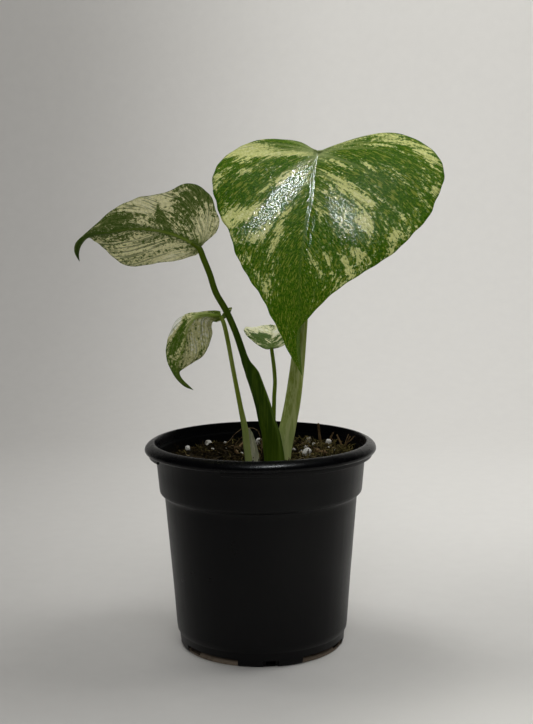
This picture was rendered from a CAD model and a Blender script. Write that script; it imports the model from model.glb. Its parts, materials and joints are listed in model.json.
# %% [markdown]
# # A young variegated monstera in its nursery pot
# The plant has four leaves on four stalks, in a black plastic pot of dark, fibrous potting mix.
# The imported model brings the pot, the mix and every leaf at its real size. This notebook keeps those
# places and forms, and gives each piece its veins, its cream marbling, its gloss and its small debris.

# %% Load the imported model
import json
import math

import bpy
import numpy as np
from mathutils import Matrix, Vector

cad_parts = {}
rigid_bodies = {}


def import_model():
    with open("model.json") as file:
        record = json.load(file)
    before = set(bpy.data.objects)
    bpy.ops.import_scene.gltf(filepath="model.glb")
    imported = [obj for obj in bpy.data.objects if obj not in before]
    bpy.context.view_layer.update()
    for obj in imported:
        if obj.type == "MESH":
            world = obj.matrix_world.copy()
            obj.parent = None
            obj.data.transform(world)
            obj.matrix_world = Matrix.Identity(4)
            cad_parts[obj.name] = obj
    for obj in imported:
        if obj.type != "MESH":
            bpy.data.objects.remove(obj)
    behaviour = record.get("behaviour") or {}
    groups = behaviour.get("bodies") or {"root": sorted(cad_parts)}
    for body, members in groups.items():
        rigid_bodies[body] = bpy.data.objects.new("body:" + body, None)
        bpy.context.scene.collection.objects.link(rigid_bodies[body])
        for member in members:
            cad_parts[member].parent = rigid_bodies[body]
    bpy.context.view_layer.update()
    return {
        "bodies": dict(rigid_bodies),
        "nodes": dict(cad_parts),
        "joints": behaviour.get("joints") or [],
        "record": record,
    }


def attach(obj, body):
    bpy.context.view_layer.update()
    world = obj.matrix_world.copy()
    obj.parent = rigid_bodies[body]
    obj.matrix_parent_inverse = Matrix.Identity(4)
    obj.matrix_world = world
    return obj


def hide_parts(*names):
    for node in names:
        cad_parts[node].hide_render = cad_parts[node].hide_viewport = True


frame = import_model()
print("nodes in the model:", sorted(frame["nodes"]))

# %% [markdown]
# ## Camera
# The photo looks slightly down on the pot from about 62 cm with a lens a little longer than normal.
# The camera is set by its place, its pitch and its roll, because those three were worked out from the
# ellipses of the rim and the foot. An aim at a target would hide them.

# %% Place the camera
CAMERA_PLACE = (0.003537, -0.62327, 0.22508)
CAMERA_PITCH = math.radians(7.08)
CAMERA_ROLL = math.radians(-0.52)
CAMERA_LENS = 60.48
FILM_WIDTH = 36


def add_object(name, data):
    made = bpy.data.objects.new(name, data)
    bpy.context.scene.collection.objects.link(made)
    return made


def add_camera():
    data = bpy.data.cameras.new("camera")
    data.sensor_width = FILM_WIDTH
    data.lens = CAMERA_LENS
    camera = add_object("camera", data)
    look = Matrix.Rotation(math.pi / 2 - CAMERA_PITCH, 4, "X") @ Matrix.Rotation(CAMERA_ROLL, 4, "Z")
    camera.matrix_world = Matrix.Translation(CAMERA_PLACE) @ look
    bpy.context.scene.camera = camera
    return camera


camera = add_camera()
print("camera at", tuple(round(v, 3) for v in camera.location))

# %% [markdown]
# ## Shader sums that read like sums
# A finish is a small tree of nodes. Written out node by node, even "one minus a mask" takes four lines.
# A thin wrapper round a socket lets Python's own operators add the Math nodes. One method makes every
# other node: it takes the node's type, its settings, and the values or links of its sockets.

# %% A wire with operators, and one method for nodes
class Wire:
    """A socket's value, so that sums on it are written like arithmetic."""

    def __init__(self, sheet, socket):
        self.sheet = sheet
        self.socket = socket

    def maths(self, operation, *terms):
        return self.sheet.node("ShaderNodeMath", {"operation": operation}, dict(enumerate(terms)))

    def __add__(self, other):
        return self.maths("ADD", self, other)

    def __sub__(self, other):
        return self.maths("SUBTRACT", self, other)

    def __rsub__(self, other):
        return self.maths("SUBTRACT", other, self)

    def __mul__(self, other):
        return self.maths("MULTIPLY", self, other)

    def __truediv__(self, other):
        return self.maths("DIVIDE", self, other)

    def __rtruediv__(self, other):
        return self.maths("DIVIDE", other, self)

    def __pow__(self, other):
        return self.maths("POWER", self, other)

    __radd__ = __add__
    __rmul__ = __mul__

    def at_most(self, limit):
        return self.maths("MINIMUM", self, limit)

    def sine(self):
        return self.maths("SINE", self)

    def rise(self, low, high):
        """0 below low, 1 above high, and a smooth step between them."""
        settings = {"interpolation_type": "SMOOTHSTEP"}
        return self.sheet.node("ShaderNodeMapRange", settings, {0: self, 1: low, 2: high, 3: 0, 4: 1})


class NodeSheet:
    """A tree of nodes, in a material or in a Geometry Nodes group."""

    def __init__(self, tree):
        self.tree = tree

    def node(self, kind, settings=None, sockets=None, out=0):
        made = self.tree.nodes.new(kind)
        for key, value in (settings or {}).items():
            setattr(made, key, value)
        for key, value in (sockets or {}).items():
            if isinstance(value, Wire):
                self.tree.links.new(value.socket, made.inputs[key])
            else:
                made.inputs[key].default_value = value
        return None if out is None else Wire(self, made.outputs[out])

    def vector(self, operation, first, second):
        return self.node("ShaderNodeVectorMath", {"operation": operation}, {0: first, 1: second})

    def part(self, vector, axis):
        return self.node("ShaderNodeSeparateXYZ", None, {0: vector}, axis)

    def cloud(self, vector, scale=1.0, detail=2.0, rough=0.5, twist=0.0, out=0):
        """Noise from 0 to 1. Its other output is three such noises at once."""
        sockets = {"Vector": vector, "Scale": scale, "Detail": detail, "Roughness": rough}
        return self.node("ShaderNodeTexNoise", None, {**sockets, "Distortion": twist}, out)


# %% A finish: a material and the few patterns that the pieces share
class Finish(NodeSheet):
    """One material under construction."""

    def __init__(self, name):
        self.material = bpy.data.materials.new(name)
        self.material.use_nodes = True
        super().__init__(self.material.node_tree)
        self.tree.nodes.clear()

    def mix(self, mask, under, over):
        """The colour under, covered by the colour over where the mask is 1."""
        pair = [c if isinstance(c, Wire) else (*c, 1) for c in (under, over)]
        return self.node("ShaderNodeMix", {"data_type": "RGBA"}, {0: mask, 6: pair[0], 7: pair[1]}, 2)

    def place(self):
        return self.node("ShaderNodeTexCoord", out="Object")

    def uv(self, name):
        return self.node("ShaderNodeUVMap", {"uv_map": name})

    def stretch(self, vector, scale, shift=(0, 0, 0)):
        return self.vector("ADD", self.vector("MULTIPLY", vector, scale), shift)

    def cells(self, vector, scale=1.0):
        return self.node("ShaderNodeTexVoronoi", {"feature": "F1"}, {"Vector": vector, "Scale": scale})

    def mark(self, name):
        return self.node("ShaderNodeAttribute", {"attribute_name": name}, out="Fac")

    def bump(self, height, depth, strength=1.0):
        sockets = {"Height": height, "Distance": depth, "Strength": strength}
        return self.node("ShaderNodeBump", None, sockets, "Normal")

    def shader(self, base, rough, normal=None, gloss=0.5):
        """One surface. Gloss is how strongly it mirrors."""
        sockets = {"Base Color": base, "Roughness": rough, "Specular IOR Level": gloss}
        if normal is not None:
            sockets["Normal"] = normal
        return self.node("ShaderNodeBsdfPrincipled", None, sockets)

    def cover(self, mask, under, over):
        """The shader under, covered by the shader over where the mask is 1."""
        return self.node("ShaderNodeMixShader", None, {0: mask, 1: under, 2: over})

    def close(self, surface):
        self.node("ShaderNodeOutputMaterial", None, {"Surface": surface}, None)
        return self.material

    def done(self, base, rough, normal=None, gloss=0.5):
        return self.close(self.shader(base, rough, normal, gloss))


def two_tone_finish(name, scale, edges, tones, rough, gloss, relief=None):
    """Two tones parted by a noise. relief is (scale, detail, roughness) of another one, and its depth."""
    skin = Finish(name)
    tone = skin.cloud(skin.place(), scale, 3).rise(*edges)
    normal = None
    if relief:
        normal = skin.bump(skin.cloud(skin.place(), *relief[:3]), relief[3])
    return skin.done(skin.mix(tone, *tones), rough, normal, gloss)


# %% [markdown]
# ## Room: a pale sweep and soft light
# A studio sweep is one sheet that is floor in front and curves up into a wall behind, so no corner
# shows. The wall stands a metre back, so that it never comes between the plant and a camera behind it.
# The paper is a little darker on the left. Light adds up, so each lamp was first rendered alone, and
# the watts below are the mix that comes closest to the photo's floor, wall and leaves. The middle and
# far lamps only light the paper behind the plant.
#
# Big boxes mirrored in every leaf would veil its colour in grey, so they light but don't show in
# reflections. The glare comes from two lamps that only show there. They hang where the line of sight
# to the large leaf's glossy patches goes on along its reflection. The grey of the room beyond the
# sweep is seen by the camera alone.

# %% Finish of the sweep
PAPER_LEFT = [(0.503, 0.490, 0.466), (0.538, 0.525, 0.498)]
PAPER_RIGHT = [(0.796, 0.780, 0.741), (0.837, 0.821, 0.779)]
PAPER_NEAR_RIGHT = (0.93, 0.915, 0.86)
FRONT_SHADE = 0.14


def sweep_finish():
    paper = Finish("pale_paper")
    grain = paper.cloud(paper.place(), 90, 4)
    x, y = paper.part(paper.place(), 0), paper.part(paper.place(), 1)
    tint = paper.mix(x.rise(-0.30, 0.12), paper.mix(grain, *PAPER_LEFT), paper.mix(grain, *PAPER_RIGHT))
    tint = paper.mix((1 - y.rise(-0.05, 0.25)) * FRONT_SHADE, tint, (0, 0, 0))
    near_right = x.rise(-0.02, 0.12) * (1 - y.rise(-0.12, -0.03))
    tint = paper.mix(near_right, tint, PAPER_NEAR_RIGHT)
    return paper.done(tint, 0.9, paper.bump(grain, 0.0002, 0.3))


# %% Build the sweep
FLOOR_REACH = 1.6
SWEEP_START = 0.55
SWEEP_RADIUS = 0.45
SWEEP_STEPS = 24
SWEEP_SIDE = 2.5
WALL_TOP = 1.8


def add_sweep():
    line = [(-FLOOR_REACH, 0.0), (SWEEP_START, 0.0)]
    for step in range(1, SWEEP_STEPS + 1):
        turn = math.radians(90 * step / SWEEP_STEPS)
        line.append((SWEEP_START + SWEEP_RADIUS * math.sin(turn), SWEEP_RADIUS * (1 - math.cos(turn))))
    line.append((SWEEP_START + SWEEP_RADIUS, WALL_TOP))
    points = [(x, y, z) for y, z in line for x in (-SWEEP_SIDE, SWEEP_SIDE)]
    faces = [(2 * i, 2 * i + 1, 2 * i + 3, 2 * i + 2) for i in range(len(line) - 1)]
    mesh = bpy.data.meshes.new("sweep")
    mesh.from_pydata(points, [], faces)
    mesh.materials.append(sweep_finish())
    mesh.polygons.foreach_set("use_smooth", [True] * len(faces))
    sweep = add_object("sweep", mesh)
    return sweep


sweep = add_sweep()
print("sweep faces:", len(sweep.data.polygons))

# %% Hang the lights
COOL = (0.95, 0.98, 1.0)
SKY = (0.8, 0.93, 1.0)
GLARE_AIM = (0, -0.02, 0.2)
LAMPS = [  # name, place, aim, size, watts
    ("front_over_box", (0.15, -0.75, 1.0), (0, 0, 0.1), (0.5, 0.5), 2.17),
    ("left_over_box", (-0.25, 0.2, 0.9), (0, 0, 0.12), (0.4, 0.4), 1.86),
    ("wall_box", (0.5, 0.1, 0.72), (0.2, 0.46, 0.36), (0.4, 0.4), 2.52),
    ("far_right_box", (0.45, 0.45, 0.9), (0.4, 1.0, 0.3), (0.5, 0.4), 1.4),
    ("far_left_box", (-0.4, 0.45, 0.9), (-0.35, 1.0, 0.3), (0.5, 0.4), 1.08),
    ("middle_right_box", (0.5, 0.25, 0.9), (0.35, 0.5, 0.0), (0.4, 0.4), 0.53),
    ("middle_left_box", (-0.45, 0.3, 0.9), (-0.3, 0.5, 0.0), (0.4, 0.4), 0.49),
    ("front_fill", (0.0, -0.75, 0.5), (0, 0, 0.18), (0.5, 0.5), 0.77),
    ("left_fill", (-0.7, -0.2, 0.25), (-0.03, 0, 0.2), (0.5, 0.5), 0.86),
]
GLARE_LAMPS = [  # the same, then tint and turn about the line of its aim
    ("glare_strip", (0.13, -0.31, 1.0), GLARE_AIM, (0.34, 0.04), 6.0, COOL, 45),
    ("sky_glare", (0.0, -0.56, 1.0), GLARE_AIM, (0.18, 0.3), 0.8, SKY, 0),
]
ROOM_TINT = (1.0, 0.99, 0.97)
ROOM_STRENGTH = 0.4


def add_softbox(name, place, aim, size, watts, tint=(1, 1, 1), turn=0):
    data = bpy.data.lights.new(name, "AREA")
    data.shape = "RECTANGLE"
    data.size, data.size_y = size
    data.energy = watts
    data.color = tint
    light = add_object(name, data)
    look = (Vector(aim) - Vector(place)).to_track_quat("-Z", "Y").to_matrix().to_4x4()
    light.matrix_world = Matrix.Translation(place) @ look @ Matrix.Rotation(math.radians(turn), 4, "Z")
    return light


def add_room_light():
    world = bpy.data.worlds.new("room")
    world.use_nodes = True
    background = world.node_tree.nodes["Background"]
    background.inputs["Color"].default_value = (*ROOM_TINT, 1)
    background.inputs["Strength"].default_value = ROOM_STRENGTH
    world.cycles_visibility.diffuse = False
    world.cycles_visibility.glossy = False
    bpy.context.scene.world = world


for lamp in LAMPS:
    add_softbox(*lamp).visible_glossy = False
for lamp in GLARE_LAMPS:
    add_softbox(*lamp).visible_diffuse = False
add_room_light()
bpy.context.scene.view_settings.view_transform = "Standard"

# %% [markdown]
# ## Making a plain mesh piece
# Every finished piece stands at the origin with its place in its mesh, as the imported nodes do. It
# rides on the one body of this part, stands for the nodes it replaces, and names its record slot.
# Most pieces are tubes of rings of points, or thin sheets of two skins, so both have a helper.

# %% Helpers for pieces
MM = 0.001
ROOT = "root"


def new_mesh(name, points, faces, finishes, face_finish=None, smooth=True):
    """An object from points in millimetres."""
    mesh = bpy.data.meshes.new(name)
    mesh.from_pydata((np.asarray(points, float) * MM).tolist(), [], [list(map(int, f)) for f in faces])
    for finish in finishes:
        mesh.materials.append(finish)
    if face_finish is not None:
        mesh.polygons.foreach_set("material_index", np.asarray(face_finish, np.int32))
    mesh.polygons.foreach_set("use_smooth", [smooth] * len(mesh.polygons))
    return add_object(name, mesh)


def settle(made, slot, *nodes):
    """Hands a finished piece to the frame."""
    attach(made, ROOT)
    if nodes:
        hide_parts(*nodes)
    made.data.calc_loop_triangles()
    print(made.name, "has", len(made.data.loop_triangles), "triangles")
    return made


def lay_values(made, label, values):
    """A number on every point of a piece, for its finish to read."""
    layer = made.data.attributes.new(label, "FLOAT", "POINT")
    layer.data.foreach_set("value", np.asarray(values, np.float32))


def tube_faces(rings, sides, first=0):
    """Faces between rings of points that follow each other."""
    faces = []
    for low in range(first, first + (rings - 1) * sides, sides):
        for k in range(sides):
            n = (k + 1) % sides
            faces.append([low + k, low + n, low + sides + n, low + sides + k])
    return faces


def cap_faces(rings, sides, first=0):
    """Fans that close a tube's two ends, to the two points that follow its rings."""
    faces = []
    end = first + rings * sides
    for k in range(sides):
        n = (k + 1) % sides
        faces += [[end, first + n, first + k], [end + 1, end - sides + k, end - sides + n]]
    return faces


def turned(faces):
    """The same faces, looking the other way."""
    return [[face[0], *face[:0:-1]] for face in faces]


def two_skins(faces, count):
    """Adds the sheet's other skin, count points on, and a strip of faces between them at the margin."""
    edges = dict.fromkeys((p, q) for face in faces for p, q in zip(face, face[1:] + face[:1]))
    margin = [(p, q) for p, q in edges if (q, p) not in edges]
    under = [[count + p for p in reversed(face)] for face in faces]
    return faces + under + [[q, p, count + p, count + q] for p, q in margin], margin


def unit(vector):
    vector = np.asarray(vector, float)
    return vector / np.linalg.norm(vector)


def bell(distance, width):
    """1 at no distance, falling off softly over the width."""
    return np.exp(-((distance / width) ** 2))


def part_of(value, span):
    """The value's share of a span, held between 0 and 1."""
    return np.clip(value / span, 0, 1)


# %% [markdown]
# ## Leaf outlines
# A blade is drawn flat, as points [across, along] in millimetres from its joint with the stalk. It is
# then bent along the midrib, folded at the midrib and waved along its margin. These are the same
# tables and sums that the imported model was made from, so the finer blades lie exactly on its solids.
#
# The bends are degrees per millimetre, ahead of the joint and behind it. The fold is in degrees and
# the bow is a rise per square millimetre. A wave has a height, a count and a start, a ragged margin
# has a depth and a count. A groove has a depth and a half width. A rib has the height of its ridge
# below, the depth of its channel above, and a half width. The grid is rows and steps of faces.

# %% The four blades
LARGE_LEAF = {
    "joint": (30, -4, 254), "heading": (-0.06, -0.68, -0.73), "face": (0, -0.73, 0.68),
    "bend": -0.36, "lobe_bend": -1, "fold": 9, "bow": -0.003, "wave": (0.6, 5, 0.4), "ragged": (0.7, 15),
    "vein_lean": 0.2, "pale_reach": 24, "lobe_share": 0.3,
    "grid": (190, 46), "groove": (0.13, 0.9), "rib": (1.1, 0.4, 1.9),
    "midrib": [(0, 0), (-1.5, 12.5), (-2, 30), (-4.5, 47), (-6, 70), (-5, 97), (-3, 118.5)],
    "left": [
        (-1, -0.5), (-5, -4), (-9.5, -7), (-15, -7.5), (-20, -7), (-28, -5.5), (-38.5, -1.5),
        (-45.5, 4.5), (-50, 12), (-51.5, 19.5), (-50.5, 28.5), (-48.5, 35), (-46, 42), (-41, 51.5),
        (-35.5, 65.5), (-25, 81), (-18.5, 92), (-10, 107.5), (-3, 118.5),
    ],
    "right": [
        (5.5, -0.5), (7.5, -3), (12.5, -6.5), (20, -10.5), (28.5, -14), (37, -16), (45.5, -15.5),
        (54, -11.5), (60, -4), (63.5, 5), (63.5, 13.5), (60, 25.5), (56, 36), (48.5, 47), (41.5, 55),
        (33.5, 62), (20.5, 71), (7, 82), (-1, 91), (-5, 95.5), (-6.5, 99), (-6.5, 106), (-5, 113),
        (-3, 118.5),
    ],
    "veins": {
        "left": [0.1, 0.22, 0.34, 0.44, 0.54, 0.64, 0.73, 0.82],
        "right": [0.08, 0.18, 0.29, 0.4, 0.51, 0.6, 0.69, 0.77, 0.86],
    },
}
UPPER_LEAF = {
    "joint": (-28.5, -25, 208), "heading": (-0.86, 0.22, 0.46), "face": (0.4, 0.85, 0.34),
    "bend": -0.75, "lobe_bend": -0.75, "fold": 8, "bow": 0.004, "wave": (1.2, 3, 0.1), "ragged": (0.5, 9),
    "vein_lean": 0.27, "pale_reach": 9, "lobe_share": 0.24,
    "grid": (150, 30), "groove": (0.3, 0.8), "rib": (1.1, 0.4, 2.0),
    "midrib": [
        (0, 0), (0.5, 8.5), (0, 17), (-1.5, 25), (-4, 34), (-9, 45), (-13, 55), (-18.5, 58.5), (-24, 58),
        (-29, 55.5),
    ],
    "left": [
        (-1.5, 0.5), (-5.5, 0.5), (-10.5, 5), (-17, 11.5), (-22, 17), (-27, 21.5), (-30.5, 27), (-31, 32),
        (-28, 37.5), (-23, 43.5), (-17.5, 50), (-14.5, 54), (-18.5, 56.5), (-24, 56.8), (-29, 55.5),
    ],
    "right": [
        (2, -1), (6.5, -2.5), (10.5, -4.5), (16, -4), (20, -1), (25, 3.5), (26.5, 8), (26.5, 13),
        (25, 17.5), (20.5, 22), (17, 26), (15, 30.5), (12.5, 36), (9, 40), (4, 44.5), (-2.5, 49.5),
        (-7.5, 53), (-13, 57), (-18.5, 60), (-24, 59.2), (-29, 55.5),
    ],
    "veins": {
        "left": [0.12, 0.26, 0.4, 0.52, 0.62, 0.72, 0.82],
        "right": [0.1, 0.2, 0.31, 0.42, 0.53, 0.63, 0.74, 0.85],
    },
}
DROOPING_LEAF = {
    "joint": (-19.1, -14, 172.9), "heading": (-0.57, -0.05, -0.82), "face": (-0.25, 0.96, 0.11),
    "bend": 0, "lobe_bend": 0, "fold": 34, "bow": 0, "wave": (0.5, 3, 0), "ragged": (0.3, 7),
    "vein_lean": 0.3, "pale_reach": 8, "lobe_share": 0.14,
    "grid": (130, 20), "groove": (0.2, 0.7), "rib": (0.6, 0.3, 1.0),
    "midrib": [
        (0, 0), (5, 3), (9.5, 6.5), (10.8, 10), (10.8, 14), (9.5, 18), (7.5, 22.5), (6, 27), (4.5, 32),
        (2.5, 35.5), (-1, 37.7), (-5.5, 39), (-10, 39),
    ],
    "left": [
        (-0.5, -2), (-1.5, -5), (-3.5, -6.5), (-4, -4.5), (-3.5, -1), (-1, 3.5), (1, 4.5), (0.8, 5.5),
        (-0.6, 7.2), (-3.8, 9.8), (-5.4, 12.3), (-6.8, 17), (-7, 20.5), (-6, 23.7), (-3.5, 27.6),
        (-0.8, 31.6), (1.4, 34.8), (-0.2, 36.6), (-3, 37.6), (-6.5, 38.3), (-10, 39),
    ],
    "right": [
        (1.5, -1.8), (3.5, -0.8), (5, 0.5), (6.8, 2.2), (9.8, 5.5), (12.3, 7.2), (14.4, 9.7),
        (15.8, 12.8), (16.2, 16), (15.6, 20), (14.7, 25), (12.9, 29), (11.2, 31.6), (8.9, 34.2),
        (5.9, 36.4), (1.5, 38.6), (-2.2, 39.7), (-6, 39.9), (-10, 39),
    ],
    "veins": {"left": [0.2, 0.4, 0.55, 0.7], "right": [0.2, 0.36, 0.5, 0.64, 0.78]},
}
NEW_LEAF = {
    "joint": (6.2, -4, 155.4), "heading": (-0.02, 0.89, 0.45), "face": (0, -0.45, 0.89),
    "bend": -0.4, "lobe_bend": -0.4, "fold": 20, "bow": 0, "wave": (0.4, 2, 0.3), "ragged": (0.4, 6),
    "vein_lean": 0.15, "pale_reach": 5, "lobe_share": 0.24,
    "grid": (90, 18), "groove": (0.18, 0.7), "rib": (0.5, 0.2, 0.8),
    "midrib": [(0, 0), (-0.3, 9), (-0.4, 18), (0, 26.5)],
    "left": [
        (-1, -0.5), (-2.5, -1), (-5, -1), (-8, 1), (-11, 3.5), (-13, 6.5), (-13.8, 10.5), (-12.5, 14.5),
        (-9.2, 17), (-6, 20.3), (-3, 23.8), (0, 26.5),
    ],
    "right": [
        (1, -0.5), (2.5, -2.5), (5, -1.5), (8, 1), (10.8, 3.6), (13.2, 6.2), (14, 10.5), (12.8, 14.3),
        (9.2, 17), (6.1, 20.3), (3, 23.8), (0, 26.5),
    ],
    "veins": {"left": [0.2, 0.4, 0.6, 0.8], "right": [0.2, 0.4, 0.6, 0.8]},
}
print("margin points of the large leaf:", len(LARGE_LEAF["left"]) + len(LARGE_LEAF["right"]))

# %% [markdown]
# ## From outline to curved blade
# The margin and the midrib are smooth lines through their points, read at even steps of length. Rows
# run from the midrib to the margin the way the side veins do. That makes the row number a natural
# coordinate for everything that follows the veins: the relief here and the marbling later.

# %% Smooth lines
SPAN_STEPS = 24


def smooth_line(points):
    """A curve through the points, as dense points of it."""
    p = np.asarray(points, float)
    before = np.vstack([p[:1], p[:-1]])
    after = np.vstack([p[1:], p[-1:]])
    pull = (after - before) / 2
    pull[-1] = (p[-1] - p[-2]) / 2
    t = np.linspace(0, 1, SPAN_STEPS, endpoint=False)[:, None]
    spans = []
    for a, b, u, v in zip(p[:-1], p[1:], pull[:-1], pull[1:]):
        cubic = (2 * a - 2 * b + u + v) * t**3 + (3 * b - 3 * a - 2 * u - v) * t**2
        spans.append(cubic + u * t + a)
    return np.vstack([*spans, p[-1:]])


def lengths(line):
    """How long a dense line is up to each of its points."""
    return np.concatenate([[0], np.cumsum(np.linalg.norm(np.diff(line, axis=0), axis=1))])


def along_line(line, shares):
    """Points of a dense line at shares of its length."""
    gone = lengths(line)
    wanted = np.asarray(shares) * gone[-1]
    return np.stack([np.interp(wanted, gone, line[:, k]) for k in range(line.shape[1])], axis=-1)


# %% Carry the flat blade round its bend
NO_BEND = 1e-9


def bent(leaf, flat, height):
    along = unit(leaf["heading"])
    face = np.asarray(leaf["face"], float)
    face = unit(face - face.dot(along) * along)
    rate = np.radians(np.where(flat[..., 1] >= 0, leaf["bend"] or NO_BEND, leaf["lobe_bend"] or NO_BEND))
    turn = rate * flat[..., 1]
    ahead = np.sin(turn) / rate - height * np.sin(turn)
    rise = (1 - np.cos(turn)) / rate + height * np.cos(turn)
    middle = np.asarray(leaf["joint"], float) + ahead[..., None] * along + rise[..., None] * face
    return middle + flat[..., :1] * np.cross(face, along)


# %% [markdown]
# The side veins lean more to the tip than the rows do. Each point therefore also gets a vein share,
# the same all along one vein, which is what the grooves and the streaks follow. Dividing a
# difference of vein shares by how fast they change per millimetre gives a distance in millimetres.

# %% Where the side veins run
def vein_share(leaf, share, out):
    lean = leaf["vein_lean"] * np.minimum(1, share / leaf["lobe_share"]) ** 1.5
    return share[:, None] + lean[:, None] * (1 - out)[None]


def steepness(flat, value):
    """How fast a value changes per millimetre over a grid of flat points."""
    row_x, row_y = (np.gradient(flat[..., k], axis=0) for k in range(2))
    step_x, step_y = (np.gradient(flat[..., k], axis=1) for k in range(2))
    by_row, by_step = np.gradient(value, axis=0), np.gradient(value, axis=1)
    area = row_x * step_y - row_y * step_x
    area = np.where(np.abs(area) < 1e-6, 1e-6, area)
    slope_x = (by_row * step_y - by_step * row_y) / area
    slope_y = (by_step * row_x - by_row * step_x) / area
    return np.maximum(np.hypot(slope_x, slope_y), 1e-5)


# %% Rows of one half of a blade
CROWDING = 1.5  # above 1, the steps crowd towards the midrib
RIB_CROWDING = 1.15  # and the rows towards the joint
NICK_BEAT = 0.37  # a second, slower beat that makes the nicks uneven
FULL_WIDTH = 12  # where a half is narrower than this, nicks and waves are smaller
CREASE = 1.3  # how far the fold at the midrib is rounded
CORD_WIDTH = 0.9
CALM_FROM, CALM_OVER = 3, 10  # where the grooves begin beside the midrib, and how slowly
THIN_EDGE = 0.2  # share of a half's width over which grooves and thickness fade to the margin


def half_blade(leaf, side):
    """The middle surface of one half, as grids of values over its rows and steps."""
    rows, steps = leaf["grid"]
    share = np.linspace(0, 1, rows + 1)
    out = np.linspace(0, 1, steps + 1) ** CROWDING
    rib_share = np.clip((share - leaf["lobe_share"]) / (1 - leaf["lobe_share"]), 0, 1) ** RIB_CROWDING
    foot = along_line(smooth_line(leaf["midrib"]), rib_share)
    end = along_line(smooth_line(leaf[side]), share)
    nick, count = leaf["ragged"]
    beat = np.sin(2 * np.pi * count * share) * np.cos(2 * np.pi * NICK_BEAT * count * share)
    inward = foot - end
    width = np.maximum(np.linalg.norm(inward, axis=1), 1e-9)
    nicks = nick * (0.5 + 0.5 * beat) * np.minimum(1, width / FULL_WIDTH)
    end = end + inward * (nicks / width)[:, None]
    flat = foot[:, None] + (end - foot)[:, None] * out[None, :, None]
    reach = np.linalg.norm(flat - foot[:, None], axis=-1)
    wave, count, start = leaf["wave"]
    ripple = wave * np.sin(2 * np.pi * (count * share + start))[:, None] * out**2
    ripple = ripple * np.minimum(1, reach / FULL_WIDTH)
    rounded = np.sqrt(reach**2 + CREASE**2) - CREASE
    height = np.tan(np.radians(leaf["fold"])) * rounded + leaf["bow"] * reach**2 + ripple
    vein = vein_share(leaf, share, out)
    nearest = np.min([np.abs(vein - place) for place in leaf["veins"][side]], axis=0) / steepness(flat, vein)
    depth, width = leaf["groove"]
    calm = part_of(reach - CALM_FROM, CALM_OVER) * part_of(1 - out, THIN_EDGE)
    height = height - depth * calm * bell(nearest, width)
    out = np.broadcast_to(out, vein.shape)
    cord = bell(nearest, CORD_WIDTH) * bell(np.linalg.norm(flat, axis=-1), leaf["pale_reach"])
    layout = np.stack([vein, out], axis=-1)
    return {"points": bent(leaf, flat, height), "flat": flat, "veins": layout, "out": out, "cord": cord}


# %% [markdown]
# A real blade is under half a millimetre thick, thinner at the margin. Its midrib stands out below
# like a tapering cord and lies above in a shallow channel. Both faces are moved off the middle
# surface along its normals, and one strip of faces closes the margin.

# %% Join both halves into one sheet
MERGE_STEP = 1e-3
HALF_SHIFT = 3
RIB_STEPS = 900
BATCH = 2000


def blade_sheet(leaf):
    """Both halves as one merged sheet of points and faces. Their vein shares are kept far apart."""
    rows, steps = leaf["grid"]
    halves, faces = [], []
    for number, side in enumerate(("left", "right")):
        half = half_blade(leaf, side)
        half["veins"][..., 0] += HALF_SHIFT * number
        halves.append({key: grid.reshape(-1, *grid.shape[2:]) for key, grid in half.items()})
        index = np.arange((rows + 1) * (steps + 1)).reshape(rows + 1, steps + 1)
        index = index + number * index.size
        a, b, c, d = index[:-1, :-1], index[:-1, 1:], index[1:, 1:], index[1:, :-1]
        order = (a, b, c, d) if side == "left" else (a, d, c, b)
        faces.append(np.stack(order, axis=-1).reshape(-1, 4))
    faces = np.vstack(faces)
    sheet = {key: np.concatenate([half[key] for half in halves]) for key in halves[0]}
    key = np.round(sheet["points"] / MERGE_STEP).astype(np.int64)
    _, first, merged = np.unique(key, axis=0, return_index=True, return_inverse=True)
    layouts = np.concatenate([sheet["veins"], sheet["flat"]], axis=-1)[faces]
    kept = {key: values[first] for key, values in sheet.items()}
    return {**kept, "faces": merged.ravel()[faces], "layouts": layouts}


def sheet_normals(points, faces):
    normal = np.zeros_like(points)
    for corners in (faces[:, [0, 1, 2]], faces[:, [0, 2, 3]]):
        a, b, c = (points[corners[:, k]] for k in range(3))
        cross = np.cross(b - a, c - a)
        for k in range(3):
            np.add.at(normal, corners[:, k], cross)
    length = np.linalg.norm(normal, axis=1, keepdims=True)
    return normal / np.maximum(length, 1e-12)


def beside_midrib(leaf, flat):
    """Distance of flat points to the midrib, and how far along it they are, from 0 to 1."""
    rib = along_line(smooth_line(leaf["midrib"]), np.linspace(0, 1, RIB_STEPS))
    gap, gone = np.empty(len(flat)), np.empty(len(flat))
    for start in range(0, len(flat), BATCH):
        some = slice(start, start + BATCH)
        far = np.linalg.norm(flat[some, None] - rib[None], axis=-1)
        gap[some], gone[some] = far.min(axis=1), far.argmin(axis=1) / (RIB_STEPS - 1)
    return gap, gone


# %% Close the blade into one body
BLADE_MIDDLE = 0.5
BLADE_MARGIN = 0.26
RIB_TAPER = 0.7  # below 1, the rib keeps its height for longer
TIP_SHARE = 0.3  # of the rib's width, left at the tip
RIB_END = 0.08  # share of a half's width over which the rib fades at the margin
CORE_HEIGHT, CORE_WIDTH = 0.9, 0.38  # a fine ridge in the channel, as shares of it
JOINT_REACH = 3.5
MARGIN_VEINS = (0.5, 1.0)


def proper_faces(sheet):
    """The sheet's faces and their layouts, without corners that merged into one point."""
    faces, layouts = [], []
    for face, layout in zip(sheet["faces"].tolist(), sheet["layouts"].tolist()):
        pick = [k for k in range(4) if face[k] != face[k - 1]]
        if len(pick) >= 3 and len({face[k] for k in pick}) == len(pick):
            faces.append([face[k] for k in pick])
            layouts.append([layout[k] for k in pick])
    return faces, layouts


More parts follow.
